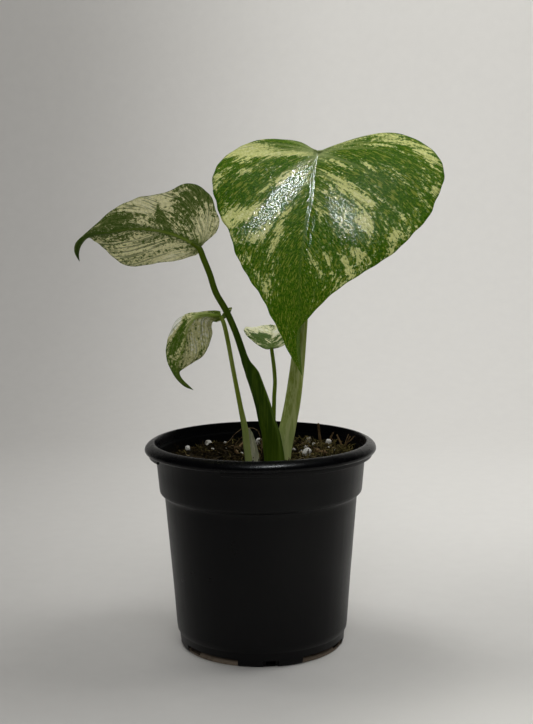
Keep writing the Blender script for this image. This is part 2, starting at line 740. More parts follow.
def blade_body(name, leaf, finishes):
    sheet = blade_sheet(leaf)
    points, flat = sheet["points"], sheet["flat"]
    normal = sheet_normals(points, sheet["faces"])
    half = (BLADE_MARGIN + (BLADE_MIDDLE - BLADE_MARGIN) * part_of(1 - sheet["out"], THIN_EDGE)) / 2
    gap, gone = beside_midrib(leaf, flat)
    ridge_height, channel_depth, width = leaf["rib"]
    fade = (1 - gone) ** RIB_TAPER  # 1 at the joint, 0 at the tip
    spread = width * (TIP_SHARE + (1 - TIP_SHARE) * fade)
    rib = bell(gap, spread) * part_of(1 - sheet["out"], RIB_END)
    channel = channel_depth * fade * (rib - CORE_HEIGHT * bell(gap, CORE_WIDTH * spread))
    top = points + normal * (half - channel)[:, None]
    under = points - normal * (half + ridge_height * fade * rib)[:, None]
    uppers, layouts = proper_faces(sheet)
    faces, margin = two_skins(uppers, len(points))
    layouts += [layout[::-1] for layout in layouts]
    layouts += [[(*MARGIN_VEINS, *flat[k]) for k in (q, p, p, q)] for p, q in margin]
    kinds = [0] * len(uppers) + [1] * (len(faces) - len(uppers))
    made = new_mesh(name, np.vstack([top, under]), faces, finishes, kinds)
    corners = np.array([corner for layout in layouts for corner in layout])
    for label, values in (("veins", corners[:, :2]), ("layout", corners[:, 2:])):
        made.data.uv_layers.new(name=label).data.foreach_set("uv", values.ravel())
    near_joint = bell(np.linalg.norm(flat, axis=1), max(JOINT_REACH, 0.25 * leaf["pale_reach"]))
    marks = {"rib": rib, "cord": sheet["cord"], "near_joint": near_joint, "rib_fade": fade}
    for label, values in marks.items():
        lay_values(made, label, np.tile(values, 2))
    return made, np.vstack([flat, flat])


# %% [markdown]
# ## Where a leaf is pale
# Marbling is random in detail, but each real leaf has its own map of pale and green regions. A zone is
# a soft ellipse on the flat blade that makes cream more likely, or green more likely where its weight
# is negative. The noise in the finish then decides the ragged borders.

# %% Lay the zones on a blade
def lay_zones(made, flat, zones, name="pale"):
    """zones: (across, along, half length, half width, turn in degrees, weight)."""
    total = np.zeros(len(flat))
    for across, along, long, wide, turn, weight in zones:
        c, s = math.cos(math.radians(turn)), math.sin(math.radians(turn))
        dx, dy = flat[:, 0] - across, flat[:, 1] - along
        u = (c * dx + s * dy) / long
        v = (c * dy - s * dx) / wide
        total += weight * np.exp(-((u**2 + v**2) ** 1.5))
    lay_values(made, name, total)


# %% [markdown]
# ## Leaf finishes
# Streaks of pale tissue follow the side veins. Noise read in row coordinates is stretched along them
# and narrows towards the joint, as the real streaks do. A second noise on the flat blade frays the
# borders. The tones come from one sum: deep green, a half-pale mint, cream, and white at its peaks.

# %% Marbling shared by all blades
def streaky(skin, look, scale, shift, detail, rough, twist=0.0):
    """Noise drawn out along the side veins. scale is its fineness across and along them."""
    stretch = (look["streaks"] * scale[0], look["along"] * scale[1], 1)
    return skin.cloud(skin.stretch(skin.uv("veins"), stretch, shift), 1, detail, rough, twist)


def flat_noise(skin, scale, detail=2.0, rough=0.5, twist=0.0, shift=(0, 0, 0)):
    """Noise on the flat blade, the same in all directions."""
    return skin.cloud(skin.stretch(skin.uv("layout"), (scale, scale, 1), shift), 1, detail, rough, twist)


def marbling(skin, look):
    """A sum of four noises round 0.5. Three are drawn out along the veins, one frays the borders."""
    seed = look["seed"]
    noises = [
        streaky(skin, look, (0.35, 0.4), (seed, 0, seed), 2, 0.5, 0.6),
        streaky(skin, look, (1, 1), (0, seed, 2 * seed), 3, 0.6, 0.5),
        streaky(skin, look, (2.6, 2.6), (seed, 3, seed), 3, 0.6, 0.3),
        flat_noise(skin, 0.6, 4, 0.68, 0.2, (seed, seed, 0)),
    ]
    value = skin.mark("pale") * look["zone_pull"] + 0.5
    for noise, weight in zip(noises, look["weights"]):
        value = value + (noise - 0.5) * weight
    return value


def vein_lines(skin, look):
    """Fine side veins as a height between 0 and 1."""
    veins = skin.uv("veins")
    wander = skin.cloud(skin.stretch(veins, (9, 3, 1), (look["seed"], 0, 0)), 1, 2) * 1.6
    return ((skin.part(veins, 0) * look["lines"] + wander) * (2 * math.pi)).sine() * 0.5 + 0.5


def quilting(skin, look):
    """Low folds drawn out along the veins, a net of domes and a fine grain. They break up the gloss."""
    folds = streaky(skin, look, (1.6, 6.0), (2, look["seed"], 5), 2, 0.5)
    domes = skin.cells(skin.stretch(skin.uv("layout"), (0.8, 0.8, 1)))
    return folds * 0.45 + flat_noise(skin, 1.2) * 0.35 - domes * 0.2


# %% The two sides of a blade
WHITE_FROM = 0.12
WHITE_TO = 0.32


def blade_colour(skin, look, mottle):
    """Green, mint, flecks and cream, then dark threads, and last the cords, the rib and the margin."""
    seed, edge = look["seed"], look["edge"]
    value = marbling(skin, look)
    colour = skin.mix(mottle, *look["green"])
    mint = value.rise(look["mint"], look["mint"] + edge)
    colour = skin.mix(mint * look["mint_strength"], colour, look["mint_colour"])
    flecks = streaky(skin, look, (3.2, 3.4), (5, seed, 2), 2, 0.6, 0.3)
    flecks = flecks.rise(look["fleck_from"], look["fleck_from"] + 0.05)
    colour = skin.mix(flecks * look["fleck_strength"], colour, look["fleck_colour"])
    whiteness = value.rise(look["cream"] + WHITE_FROM, look["cream"] + WHITE_TO)
    pale = skin.mix(whiteness, skin.mix(mottle, *look["pale"]), look["white"])
    colour = skin.mix(value.rise(look["cream"], look["cream"] + edge), colour, pale)
    threads = streaky(skin, look, (1.5, 0.8), (7, seed, 1), 3, 0.6, 0.4)
    threads = threads.rise(look["thread_from"], look["thread_from"] + 0.06)
    core = skin.mark("rib") ** 6 * skin.mark("rib_fade") ** look["core_fade"]
    rim = skin.part(skin.uv("veins"), 1).rise(0.972, 0.992)
    covers = [
        (threads * look["thread_strength"], look["thread_colour"]),
        (skin.mark("cord") * look["cord_strength"], look["cord_colour"]),
        (skin.mark("rib") * look["rib_strength"], look["rib_colour"]),
        (core * look["core_strength"], look["core_colour"]),
        (rim * look["rim_strength"], look["green"][0]),
        (skin.mark("near_joint") * 0.85, look["joint_colour"]),
    ]
    for mask, over in covers:
        colour = skin.mix(mask, colour, over)
    return colour


def blade_finish(name, look):
    skin = Finish(name)
    mottle = flat_noise(skin, 0.9, 4, 0.65).rise(0.36, 0.64)
    colour = blade_colour(skin, look, mottle)
    height = vein_lines(skin, look) * look["line_height"] + quilting(skin, look) * look["quilting"]
    patches = flat_noise(skin, 0.5, 3)
    normal = skin.bump(height, 0.0004)
    surface = skin.shader(colour, patches * 0.1 + look["rough"], normal, look["sheen"])
    if look["wax"] > 0:
        waxy = skin.shader(colour, patches * 0.04 + 0.04, normal)
        ragged = skin.mark("wax") + (mottle - 0.5) * 0.6
        surface = skin.cover(ragged.rise(0.15, 0.7) * look["wax"], surface, waxy)
    return skin.close(surface)


def build_leaf(node, leaf, looks, zones):
    """One blade with the finishes of its upper and its under face, and its pale zones."""
    finishes = [blade_finish(f"{node}_{side}_face", look) for side, look in zip(("upper", "under"), looks)]
    made, flat = blade_body(f"{node}_blade", leaf, finishes)
    lay_zones(made, flat, zones)
    return made, flat


# %% [markdown]
# ## The large leaf
# It turns its upper face to the front: deep green with ragged cream, and a row of glints from one
# lamp. The wax zones are where those glints show. Elsewhere the blade is nearly dull.

# %% Looks of the large leaf
LARGE_UPPER = dict(
    seed=3.0, streaks=46.0, along=4.2, weights=(0.35, 0.5, 0.62, 0.6), zone_pull=0.105,
    mint=0.54, cream=0.603, edge=0.014,
    green=[(0.026, 0.09, 0.001), (0.085, 0.19, 0.005)],
    mint_colour=(0.18, 0.27, 0.07), mint_strength=0.75,
    fleck_from=0.55, fleck_strength=0.8, fleck_colour=(0.28, 0.33, 0.04),
    pale=[(0.58, 0.62, 0.19), (0.78, 0.80, 0.33)], white=(0.84, 0.85, 0.45),
    thread_from=0.6, thread_strength=0.5, thread_colour=(0.035, 0.11, 0.002),
    cord_strength=0.65, cord_colour=(0.36, 0.43, 0.15),
    rib_strength=0.25, rib_colour=(0.06, 0.13, 0.01),
    core_strength=0.9, core_fade=4.0, core_colour=(0.27, 0.36, 0.12),
    rim_strength=0.35, joint_colour=(0.34, 0.42, 0.16),
    lines=30, line_height=0.05, quilting=1.15, rough=0.38, sheen=0.035, wax=0.9,
)
LARGE_UNDER = dict(
    LARGE_UPPER,
    green=[(0.07, 0.15, 0.02), (0.10, 0.19, 0.03)], mint_colour=(0.20, 0.28, 0.07),
    pale=[(0.50, 0.50, 0.20), (0.58, 0.58, 0.26)],
    rough=0.5, sheen=0.1, wax=0.0,
)
WAX_ZONES = [
    (-15, 27, 27, 5, 123, 0.9), (-29, 50, 13, 7, 120, 0.6), (10, 33, 18, 5, 66, 0.45),
    (20, 50, 18, 10, 60, 0.5), (-1.5, 30, 34, 2.5, 93, 1.0),
]
LARGE_ZONES = [
    (-36, 1, 14, 5, -8, 2.8), (-18, 3.5, 18, 2.0, -6, 2.3), (-18, -4, 9, 2.5, 0, -1.2),
    (-49, 21, 6, 2, 100, 1.8), (-36, 16, 5, 2, -15, 1.8), (-37, 9, 5, 2, -5, 1.2),
    (-15, 17, 16, 2.2, -40, 1.6), (-22, 25, 9, 2, -35, 1.2), (-37, 42, 12, 4.5, -25, 2.3),
    (-40, 53, 5, 2.5, 60, 1.3), (-28, 51, 8, 3.5, -35, 1.7), (-17, 48, 14, 2, 110, 1.6),
    (-32, 64, 3.5, 3, 0, 1.5), (-24, 75, 6, 2, 60, 1.2), (-34, 27, 14, 6, -10, -1.4),
    (-8, 60, 26, 6, 95, -1.0), (14, -6, 8, 1.5, -25, 1.2), (40, -11, 13, 3.5, 8, 1.6),
    (54, -1, 8, 4, 35, 1.8), (33, -5, 8, 1.5, 0, 1.2), (53, 12, 6, 4, 45, 1.2), (59, 20, 6, 2, 100, 1.6),
    (10, 8, 11, 2, 30, 1.5), (27, 11, 5, 2, 40, 1.4), (17, 25, 14, 3, 43, 2.0), (24, 29, 6, 3.5, 50, 1.0),
    (25, 43, 6, 3.5, 65, 2.4), (38, 52, 7, 2.5, 110, 1.5), (21, 58, 4, 2.5, 45, 1.5),
    (16, 64, 9, 1.8, 62, 1.7), (8, 64, 8, 1.6, 75, 1.5), (15, 74, 5, 1.5, -30, 1.4),
    (33, 5, 16, 4, 12, -1.5), (40, 24, 12, 6, 30, -0.7), (-4, 100, 26, 16, 90, -1.0),
]

# %% Build the large leaf
large_leaf, large_flat = build_leaf("large_leaf", LARGE_LEAF, (LARGE_UPPER, LARGE_UNDER), LARGE_ZONES)
lay_zones(large_leaf, large_flat, WAX_ZONES, "wax")
settle(large_leaf, "green_blade", "large_leaf")

# %% [markdown]
# ## The upper leaf
# It shows its dull underside, where cream outweighs green and the midrib stands out as a green cord.
# The tip curls down. Its upper face, which the photo hides, is glossy and marbled like the large leaf.

# %% Looks of the upper leaf
UPPER_UNDER = dict(
    seed=8.0, streaks=34.0, along=2.6, weights=(0.3, 0.35, 0.4, 0.85), zone_pull=0.095,
    mint=0.44, cream=0.49, edge=0.04,
    green=[(0.052, 0.10, 0.010), (0.14, 0.18, 0.045)],
    mint_colour=(0.25, 0.29, 0.10), mint_strength=0.85,
    fleck_from=0.56, fleck_strength=0.6, fleck_colour=(0.34, 0.36, 0.14),
    pale=[(0.70, 0.675, 0.35), (0.95, 0.92, 0.52)], white=(0.97, 0.94, 0.62),
    thread_from=0.515, thread_strength=0.65, thread_colour=(0.055, 0.105, 0.012),
    cord_strength=0.3, cord_colour=(0.06, 0.12, 0.01),
    rib_strength=0.95, rib_colour=(0.030, 0.070, 0.004),
    core_strength=1.0, core_fade=1.8, core_colour=(0.20, 0.28, 0.035),
    rim_strength=0.6, joint_colour=(0.12, 0.18, 0.02),
    lines=20, line_height=0.3, quilting=0.6, rough=0.5, sheen=0.08, wax=0.0,
)
UPPER_UPPER = dict(
    LARGE_UPPER, seed=8.0, streaks=34.0, along=2.6, mint=0.46, cream=0.51, rough=0.2, sheen=0.4, wax=0.0
)
UPPER_ZONES = [
    (-17, 25, 18, 8, 118, 1.0), (-13, 9, 10, 4, 120, 1.6), (11, 31, 14, 7, 117, 1.9),
    (17, 13, 9, 8, 90, -1.4), (25, 10, 9, 2.2, 80, -1.6), (5, 21, 9, 1.4, 39, -2.8),
    (7, 25, 4, 1.3, 30, -1.8), (-1, 42, 10, 2.2, 112, -1.9), (-8, 48, 9, 4, 112, -1.3),
    (8, 2, 9, 4, 60, 1.4), (15, 1, 8, 3, 70, 1.2), (4, -3, 3, 2, 0, -1.0), (-22, 58, 11, 6, 0, -2.8),
    (22, 17, 4, 1.5, 130, 1.2),
]

# %% Build the upper leaf
upper_leaf, _ = build_leaf("upper_leaf", UPPER_LEAF, (UPPER_UPPER, UPPER_UNDER), UPPER_ZONES)
settle(upper_leaf, "cream_blade", "upper_leaf")

# %% [markdown]
# ## The drooping leaf
# A small blade folded sharply along its midrib. The half on the left is bright, with a white margin
# and a deep green middle. The half on the right is in its own shade, grey-beige with faint marks.

# %% Looks of the drooping leaf
DROOPING_UNDER = dict(
    UPPER_UNDER,
    seed=15.0, streaks=24.0, along=1.6, zone_pull=0.08, mint=0.45, cream=0.50,
    green=[(0.040, 0.095, 0.004), (0.085, 0.15, 0.010)], mint_colour=(0.25, 0.29, 0.09),
    pale=[(0.56, 0.55, 0.25), (0.78, 0.76, 0.38)], white=(0.97, 0.97, 0.84),
    thread_strength=0.5, rib_colour=(0.10, 0.16, 0.015), rib_strength=0.5, lines=12, rough=0.42,
)
DROOPING_UPPER = dict(UPPER_UPPER, seed=15.0, streaks=24.0, along=1.6)
DROOPING_ZONES = [
    (16.0, 14, 11, 2.6, 95, 5.5), (12.0, 20, 10, 1.5, 103, -3.6), (1, 15, 12, 6, 98, 1.8),
    (-4.5, 20, 3, 1.0, 60, -1.2), (7, 7, 5, 3, 30, 1.4), (1, -1, 4, 4, 0, -2.6), (2, 36, 5, 3, 0, -2.0),
    (-6, 39, 7, 3, 0, -2.8), (10.5, 12, 5, 1.5, 100, 1.2),
]

# %% Build the drooping leaf
drooping_looks = (DROOPING_UPPER, DROOPING_UNDER)
drooping_leaf, _ = build_leaf("drooping_leaf", DROOPING_LEAF, drooping_looks, DROOPING_ZONES)
settle(drooping_leaf, "cream_blade", "drooping_leaf")

# %% [markdown]
# ## The new leaf
# The youngest blade is small, cupped and almost white, with green streaks that gather at its joint.

# %% Looks of the new leaf
NEW_UPPER = dict(
    LARGE_UPPER,
    seed=21.0, streaks=20.0, along=1.8, zone_pull=0.085, mint=0.46, cream=0.50,
    green=[(0.040, 0.10, 0.004), (0.080, 0.15, 0.010)], mint_colour=(0.28, 0.33, 0.12), fleck_from=0.62,
    pale=[(0.80, 0.79, 0.46), (0.93, 0.92, 0.60)], white=(0.98, 0.98, 0.84), thread_from=0.56,
    cord_strength=0.5, cord_colour=(0.08, 0.15, 0.015), joint_colour=(0.12, 0.19, 0.03),
    lines=14, sheen=0.25, wax=0.0,
)
NEW_UNDER = dict(NEW_UPPER, rough=0.5, sheen=0.1)
NEW_ZONES = [
    (8, 17, 8, 5, 0, 2.2), (-5, 16, 6, 6, 0, 2.2), (3.5, 10.5, 4, 2.2, 150, -2.6), (6, 6, 6, 2, 45, -2.0),
    (10, 6, 3, 2, 90, -1.0), (-3, 8, 4, 0.8, 110, -2.4), (-5, 6, 4, 0.8, 130, -2.0),
    (0, 2.5, 2, 2.5, 0, -1.4), (4, -1, 5, 1.5, 0, -1.6),
]

# %% Build the new leaf
new_leaf, _ = build_leaf("new_leaf", NEW_LEAF, (NEW_UPPER, NEW_UNDER), NEW_ZONES)
settle(new_leaf, "white_blade", "new_leaf")

# %% [markdown]
# ## Stalks
# A leaf stalk of this plant is round above and widens below into a sheath, an open fold that once
# wrapped the next leaf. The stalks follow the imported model's stations of place, width and depth. The
# sheath shows as two margins that run down the stalk and end in a shoulder.

# %% Stations of the stalks: x, y, z, width across the front, depth
STALK_TOP = 100.4
STALK_FOOT = 86.4
LARGE_STALK = [
    (10.8, -17, STALK_FOOT, 9, 5.6), (10.8, -17, STALK_TOP, 9, 5.6), (14.7, -14.5, 119.3, 8.2, 5.4),
    (16.8, -13, 130, 8, 5), (19.1, -10.5, 146.3, 7.2, 4.2), (21.8, -7.5, 170.5, 5.8, 3.6),
    (25.1, -3.5, 200.2, 4.3, 3.6), (28.2, 0, 231, 3.7, 3.6), (30, 0.4, 246, 3.6, 3.6),
    (30, -1.6, 251.5, 3.6, 3.4), (30, -3.6, 253.3, 2.6, 2.2),
]
UPPER_STALK = [
    (7, -26, STALK_FOOT, 10.2, 6.4), (7, -26, STALK_TOP, 10.2, 6.4), (6.3, -26, 107.6, 9.9, 6.4),
    (5.2, -26.5, 115.3, 9, 6.2), (3.3, -27.2, 122, 8.3, 6), (1.5, -27.6, 129.5, 7.6, 5.6),
    (-0.6, -28, 136.5, 7, 5), (-3.6, -28.3, 145.1, 6.6, 4.4), (-6.2, -28.5, 150.3, 4.4, 3.8),
    (-7.5, -28.6, 154, 3.6, 3.5), (-11.4, -28.7, 166, 3.2, 3.2), (-16.1, -28.6, 176.9, 3.2, 3.2),
    (-20.9, -28.1, 185.5, 3.1, 3.1), (-23.8, -27.6, 194.5, 3, 3), (-26.7, -27.2, 202, 3, 3),
    (-28.9, -26.6, 207.3, 2.9, 2.8), (-32.6, -25.6, 209.6, 1.8, 1.6),
]
DROOPING_STALK = [
    (-6, -20.5, STALK_FOOT, 3.6, 3.4), (-6, -20.5, STALK_TOP, 3.6, 3.4), (-6.9, -20.5, 108.6, 3.5, 3.2),
    (-7.6, -20.5, 116.3, 3.2, 3), (-9.8, -20, 128, 2.5, 2.6), (-12.3, -19.4, 141.4, 2.2, 2.3),
    (-14, -18.6, 151, 2.2, 2.2), (-15.6, -17.6, 160, 2.2, 2.2), (-17.4, -16.8, 168.5, 2.2, 2.2),
    (-19, -14.9, 172.4, 2.1, 2.0),
]
NEW_STALK = [
    (6, -9, STALK_FOOT, 2.2, 2.2), (6, -9, STALK_TOP, 2.2, 2.2), (6.8, -8, 113.5, 2.1, 2.1),
    (7.3, -7, 130, 2.1, 2.1), (7.8, -5.6, 138, 2, 2), (7.3, -4.4, 146, 2, 2), (6.2, -3.9, 155.0, 1.9, 1.9),
]


# %% A stalk with its sheath
FOLD_EDGE = 0.05  # radians over which the sheath's margin steps up from the stalk
FOLD_REACH = 0.7  # and over which its swelling runs out behind the margin
SHOULDER = 1.5  # millimetres over which the sheath ends at its top
MARGIN_LINE = (0.08, 0.11)  # place and width of the margin's pale line, in radians


def even_rings(stations, rings):
    """Centres of evenly spaced rings, with the stations' other columns between the stations."""
    table = np.asarray(stations, float)
    line = smooth_line(table[:, :3])
    share = np.linspace(0, 1, rings + 1)
    gone = lengths(line)
    knots = gone[::SPAN_STEPS] / gone[-1]
    sizes = [np.interp(share, knots, column) for column in table[:, 3:].T]
    return share, along_line(line, share), np.stack(sizes, axis=-1)


def sheath_fold(height, angle, low, high, turn_low, turn_high, step):
    """The sheath's swelling and its margin, on a grid of rings and angles."""
    level = part_of(height - low, high - low)
    edge = np.radians(turn_low + (turn_high - turn_low) * level)[:, None]
    gap = (angle[None] - edge + np.pi) % (2 * np.pi) - np.pi
    fold = 1 / (1 + np.exp(-gap / FOLD_EDGE)) * np.exp(-np.clip(gap, 0, None) / FOLD_REACH)
    present = 1 / (1 + np.exp((height[:, None] - high) / SHOULDER))
    place, width = MARGIN_LINE
    return step * fold * present, bell(gap - place, width) * present


def stalk_body(name, stations, rings, sides, finish, sheath=None):
    """sheath is (lowest and highest z, angle of its margin below and above, step of the margin)."""
    _, centre, sizes = even_rings(stations, rings)
    ahead = np.gradient(centre, axis=0)
    ahead /= np.linalg.norm(ahead, axis=1, keepdims=True)
    side = np.array([1.0, 0, 0]) - ahead[:, :1] * ahead
    side /= np.linalg.norm(side, axis=1, keepdims=True)
    back = np.cross(ahead, side)
    angle = np.linspace(0, 2 * np.pi, sides, endpoint=False)
    swell = margin = np.zeros((rings + 1, sides))
    if sheath:
        swell, margin = sheath_fold(centre[:, 2], angle, *sheath)
    radius = 1 + swell[..., None]
    ring = centre[:, None] + side[:, None] * (sizes[:, :1, None] / 2 * np.cos(angle)[None, :, None] * radius)
    ring = ring + back[:, None] * (sizes[:, 1:, None] / 2 * np.sin(angle)[None, :, None] * radius)
    points = np.vstack([ring.reshape(-1, 3), centre[:1], centre[-1:]])
    faces = tube_faces(rings + 1, sides) + cap_faces(rings + 1, sides)
    made = new_mesh(name, points, faces, [finish])
    lay_values(made, "sheath_margin", np.append(margin.ravel(), [0, 0]))
    return made


# %% Finish of a stalk
LOWER_CHANGE = (0.098, 0.135)
UPPER_CHANGE = (0.145, 0.225)
STALK_SKINS = {  # colours at the foot, in the middle, at the top, of the streaks and of the margin
    "pale_stalk_skin": [
        (0.33, 0.40, 0.14), (0.21, 0.265, 0.05), (0.13, 0.18, 0.02), (0.48, 0.53, 0.22), (0.5, 0.53, 0.24),
    ],
    "dark_stalk_skin": [
        (0.045, 0.085, 0.004), (0.016, 0.038, 0.001), (0.07, 0.11, 0.003), (0.11, 0.17, 0.012),
        (0.13, 0.20, 0.03),
    ],
    "olive_stalk_skin": [
        (0.27, 0.32, 0.11), (0.145, 0.195, 0.02), (0.105, 0.15, 0.01), (0.28, 0.33, 0.10), (0.2, 0.26, 0.08),
    ],
    "fresh_stalk_skin": [
        (0.13, 0.19, 0.02), (0.115, 0.18, 0.012), (0.12, 0.19, 0.015), (0.2, 0.28, 0.05), (0.2, 0.26, 0.08),
    ],
}


def stalk_finish(name, streak_strength=0.6):
    foot, middle, top, streak, margin_colour = STALK_SKINS[name]
    skin = Finish(name)
    place = skin.place()
    climb = skin.part(place, 2)
    colour = skin.mix(climb.rise(*LOWER_CHANGE), foot, middle)
    colour = skin.mix(climb.rise(*UPPER_CHANGE), colour, top)
    fibres = skin.cloud(skin.stretch(place, (1400, 1400, 45)), 1, 3, 0.6)
    broad = skin.cloud(skin.stretch(place, (500, 500, 22), (3, 1, 0)), 1, 3, 0.6)
    streaks = (fibres * 0.4 + broad * 0.6).rise(0.44, 0.6) * (1 - climb.rise(0.12, 0.2) * 0.6)
    colour = skin.mix(streaks * streak_strength, colour, streak)
    colour = skin.mix(skin.mark("sheath_margin") * 0.6, colour, margin_colour)
    height = fibres * 0.6 + skin.cloud(place, 2500, 2) * 0.2
    return skin.done(colour, broad * 0.15 + 0.42, skin.bump(height, 0.0003), 0.07)


# %% Build the stalks
LARGE_SHEATH = (100, 188, 268, 300, 0.09)
UPPER_SHEATH = (98, 151, 300, 345, 0.12)
pale_skin = stalk_finish("pale_stalk_skin")
large_stalk = stalk_body("large_leaf_stalk", LARGE_STALK, 220, 40, pale_skin, LARGE_SHEATH)
settle(large_stalk, "pale_stalk", "large_stalk")
dark_skin = stalk_finish("dark_stalk_skin", 0.3)
upper_stalk = stalk_body("upper_leaf_stalk", UPPER_STALK, 220, 40, dark_skin, UPPER_SHEATH)
settle(upper_stalk, "dark_stalk", "upper_stalk")
drooping_stalk = stalk_body("drooping_leaf_stalk", DROOPING_STALK, 130, 20, stalk_finish("olive_stalk_skin"))
settle(drooping_stalk, "pale_stalk", "drooping_stalk")
new_stalk = stalk_body("new_leaf_stalk", NEW_STALK, 100, 16, stalk_finish("fresh_stalk_skin"))
settle(new_stalk, "dark_stalk", "new_stalk")

# %% [markdown]
# ## The papery sheath
# An old leaf left its sheath behind: a thin, dry, grey-white strip that cups the drooping leaf's
# stalk and ends in a ragged tip. A cupped strip of two close skins with a wavy top edge is enough.

# %% Finish of the papery sheath
def paper_finish():
    skin = Finish("dry_sheath_skin")
    place = skin.place()
    fibres = skin.cloud(skin.stretch(place, (2600, 2600, 60)), 1, 3, 0.6)
    colour = skin.mix(fibres.rise(0.4, 0.65), (0.40, 0.40, 0.27), (0.68, 0.67, 0.48))
    colour = skin.mix(skin.part(place, 2).rise(0.108, 0.117) * 0.5, colour, (0.30, 0.33, 0.18))
    return skin.done(colour, 0.6, skin.bump(fibres, 0.0003), 0.2)


# %% Build the papery sheath
PAPER_STATIONS = [
    (-2.7, -18.4, STALK_FOOT, 4.2), (-2.7, -18.4, STALK_TOP, 4.2), (-3.1, -18.3, 104.5, 4.0),
    (-4.1, -18.2, 110, 3.3), (-4.9, -18.2, 114, 2.2), (-5.6, -18.4, 116.3, 0.6),
]
PAPER_THICKNESS = 0.35
PAPER_CUP = 0.9
PAPER_FLUTTER = 0.12


def papery_sheath():
    rows, columns = 60, 12
    share, centre, width = even_rings(PAPER_STATIONS, rows)
    across = np.linspace(-1, 1, columns + 1)
    cup = PAPER_CUP * (1 - across**2)
    flutter = PAPER_FLUTTER * np.sin(7 * across[None] + 9 * share[:, None])
    x = centre[:, :1] + width / 2 * across
    y = centre[:, 1:2] + (cup[None] - PAPER_CUP / 2) * np.minimum(1, width / 4) + flutter
    z = centre[:, 2:] + 0 * across
    half = PAPER_THICKNESS / 2
    skins = [np.stack([x, y + side, z], axis=-1).reshape(-1, 3) for side in (-half, half)]
    index = np.arange(len(skins[0])).reshape(rows + 1, columns + 1)
    quads = np.stack([index[:-1, :-1], index[:-1, 1:], index[1:, 1:], index[1:, :-1]], axis=-1)
    faces, _ = two_skins(quads.reshape(-1, 4).tolist(), len(skins[0]))
    return new_mesh("papery_sheath_strip", np.vstack(skins), faces, [paper_finish()])


paper = papery_sheath()
settle(paper, "dry_sheath", "papery_sheath")

# %% [markdown]
# ## Pot
# The pot is moulded in one go: a turned shape whose lip turns over into a short skirt, with the skirt
# left out over two finger gaps and the foot cut back for drainage. A lathe alone can't do that, so the
# profile's lowest points are moved by the angle they are at. The small drain holes are then cut out.

# %% Numbers of the pot
SKIRT_TOP = 101.75
SKIRT_GAP_CENTRES = (-41, 139)
SKIRT_GAP_WIDTH = 44
SKIRT_REST = 0.02  # share of the skirt's depth left over a finger gap, to keep its points apart
FOOT_TURN = 6
ANGLE_STEP = 2.0
EDGE_STEP, EDGE_CLEAR = 0.25, 0.7  # half the step over a cut's edge, and the room kept round it
WIDE_CUT = {"span": 45, "height": 3.8, "radius": 42.3, "slope": 0.27}
NARROW_CUT = {"span": 10, "height": 3.0, "radius": 41.6}
GROOVE = {"low": 2.5, "radius": 40.7}
HOLE = {"height": 2.4, "low": 1.0, "length": 12, "reach": 41.2, "near_end": 16, "narrow": 5, "wide": 9}
OUTER_PROFILE = [
    (0, 0), (41.2, 0), (42.3, 0.3), (42.9, 1.0), (43.2, 2.0), (43.2, 2.95), (43.2, 3.05), (43.25, 3.75),
    (43.25, 3.85), (43.6, 7.0), (43.8, 7.7), (44.6, 8.6), (44.9, 11), (46.6, 35), (48.3, 56),
    (49.95, 76.4), (50.05, 78.4), (50.4, 79.4), (51.2, 80.1), (52.0, 80.6), (52.55, 81.3), (52.8, 82.5),
    (53.6, 91.5), (54.35, 100.0), (54.7, 100.9), (55.4, 101.4), (56.3, 101.72), (56.6, 101.7),
]
SKIRT_PROFILE = [
    (56.6, 100.1), (56.75, 99.75), (57.1, 99.6), (57.5, 99.6), (57.85, 99.75), (58.0, 100.1), (58.0, 101.7),
]
LIP_PROFILE = [
    (58.3, 101.85), (59.1, 101.95), (59.7, 102.3), (60.0, 102.9), (60.0, 103.7), (59.75, 104.5),
    (59.1, 105.3), (58.1, 106.1), (57.0, 106.7), (56.1, 107.02), (55.6, 107.1), (55.15, 106.95),
    (54.9, 106.4), (54.65, 105.0), (54.2, 102.4), (54.0, 101.7), (53.5, 101.3), (53.2, 100.7),
    (52.5, 92), (51.8, 84.0), (51.3, 81.8), (50.4, 79.6), (48.9, 78.2), (48.6, 76.8), (43.0, 10),
    (40.0, 4), (38.4, 1.8), (0, 1.8),
]
INSIDE_STARTS = (54.2, 102.4)


# %% Angles and their cuts
def in_span(angle, centre, span):
    return abs((angle - centre + 180) % 360 - 180) < span / 2


def pot_angles():
    """Even steps, with a close pair of angles at every edge of a cut."""
    marks = set(np.arange(0, 360, ANGLE_STEP).tolist())
    cuts = [(FOOT_TURN + 90 * quarter, NARROW_CUT["span"]) for quarter in range(4)]
    cuts += [(FOOT_TURN + 45 + 90 * quarter, WIDE_CUT["span"]) for quarter in range(4)]
    cuts += [(centre, SKIRT_GAP_WIDTH) for centre in SKIRT_GAP_CENTRES]
    for edge in [centre + side * span / 2 for centre, span in cuts for side in (-1, 1)]:
        marks = {m for m in marks if abs((m - edge + 180) % 360 - 180) > EDGE_CLEAR}
        marks |= {(edge - EDGE_STEP) % 360, (edge + EDGE_STEP) % 360}
    return np.array(sorted(marks))


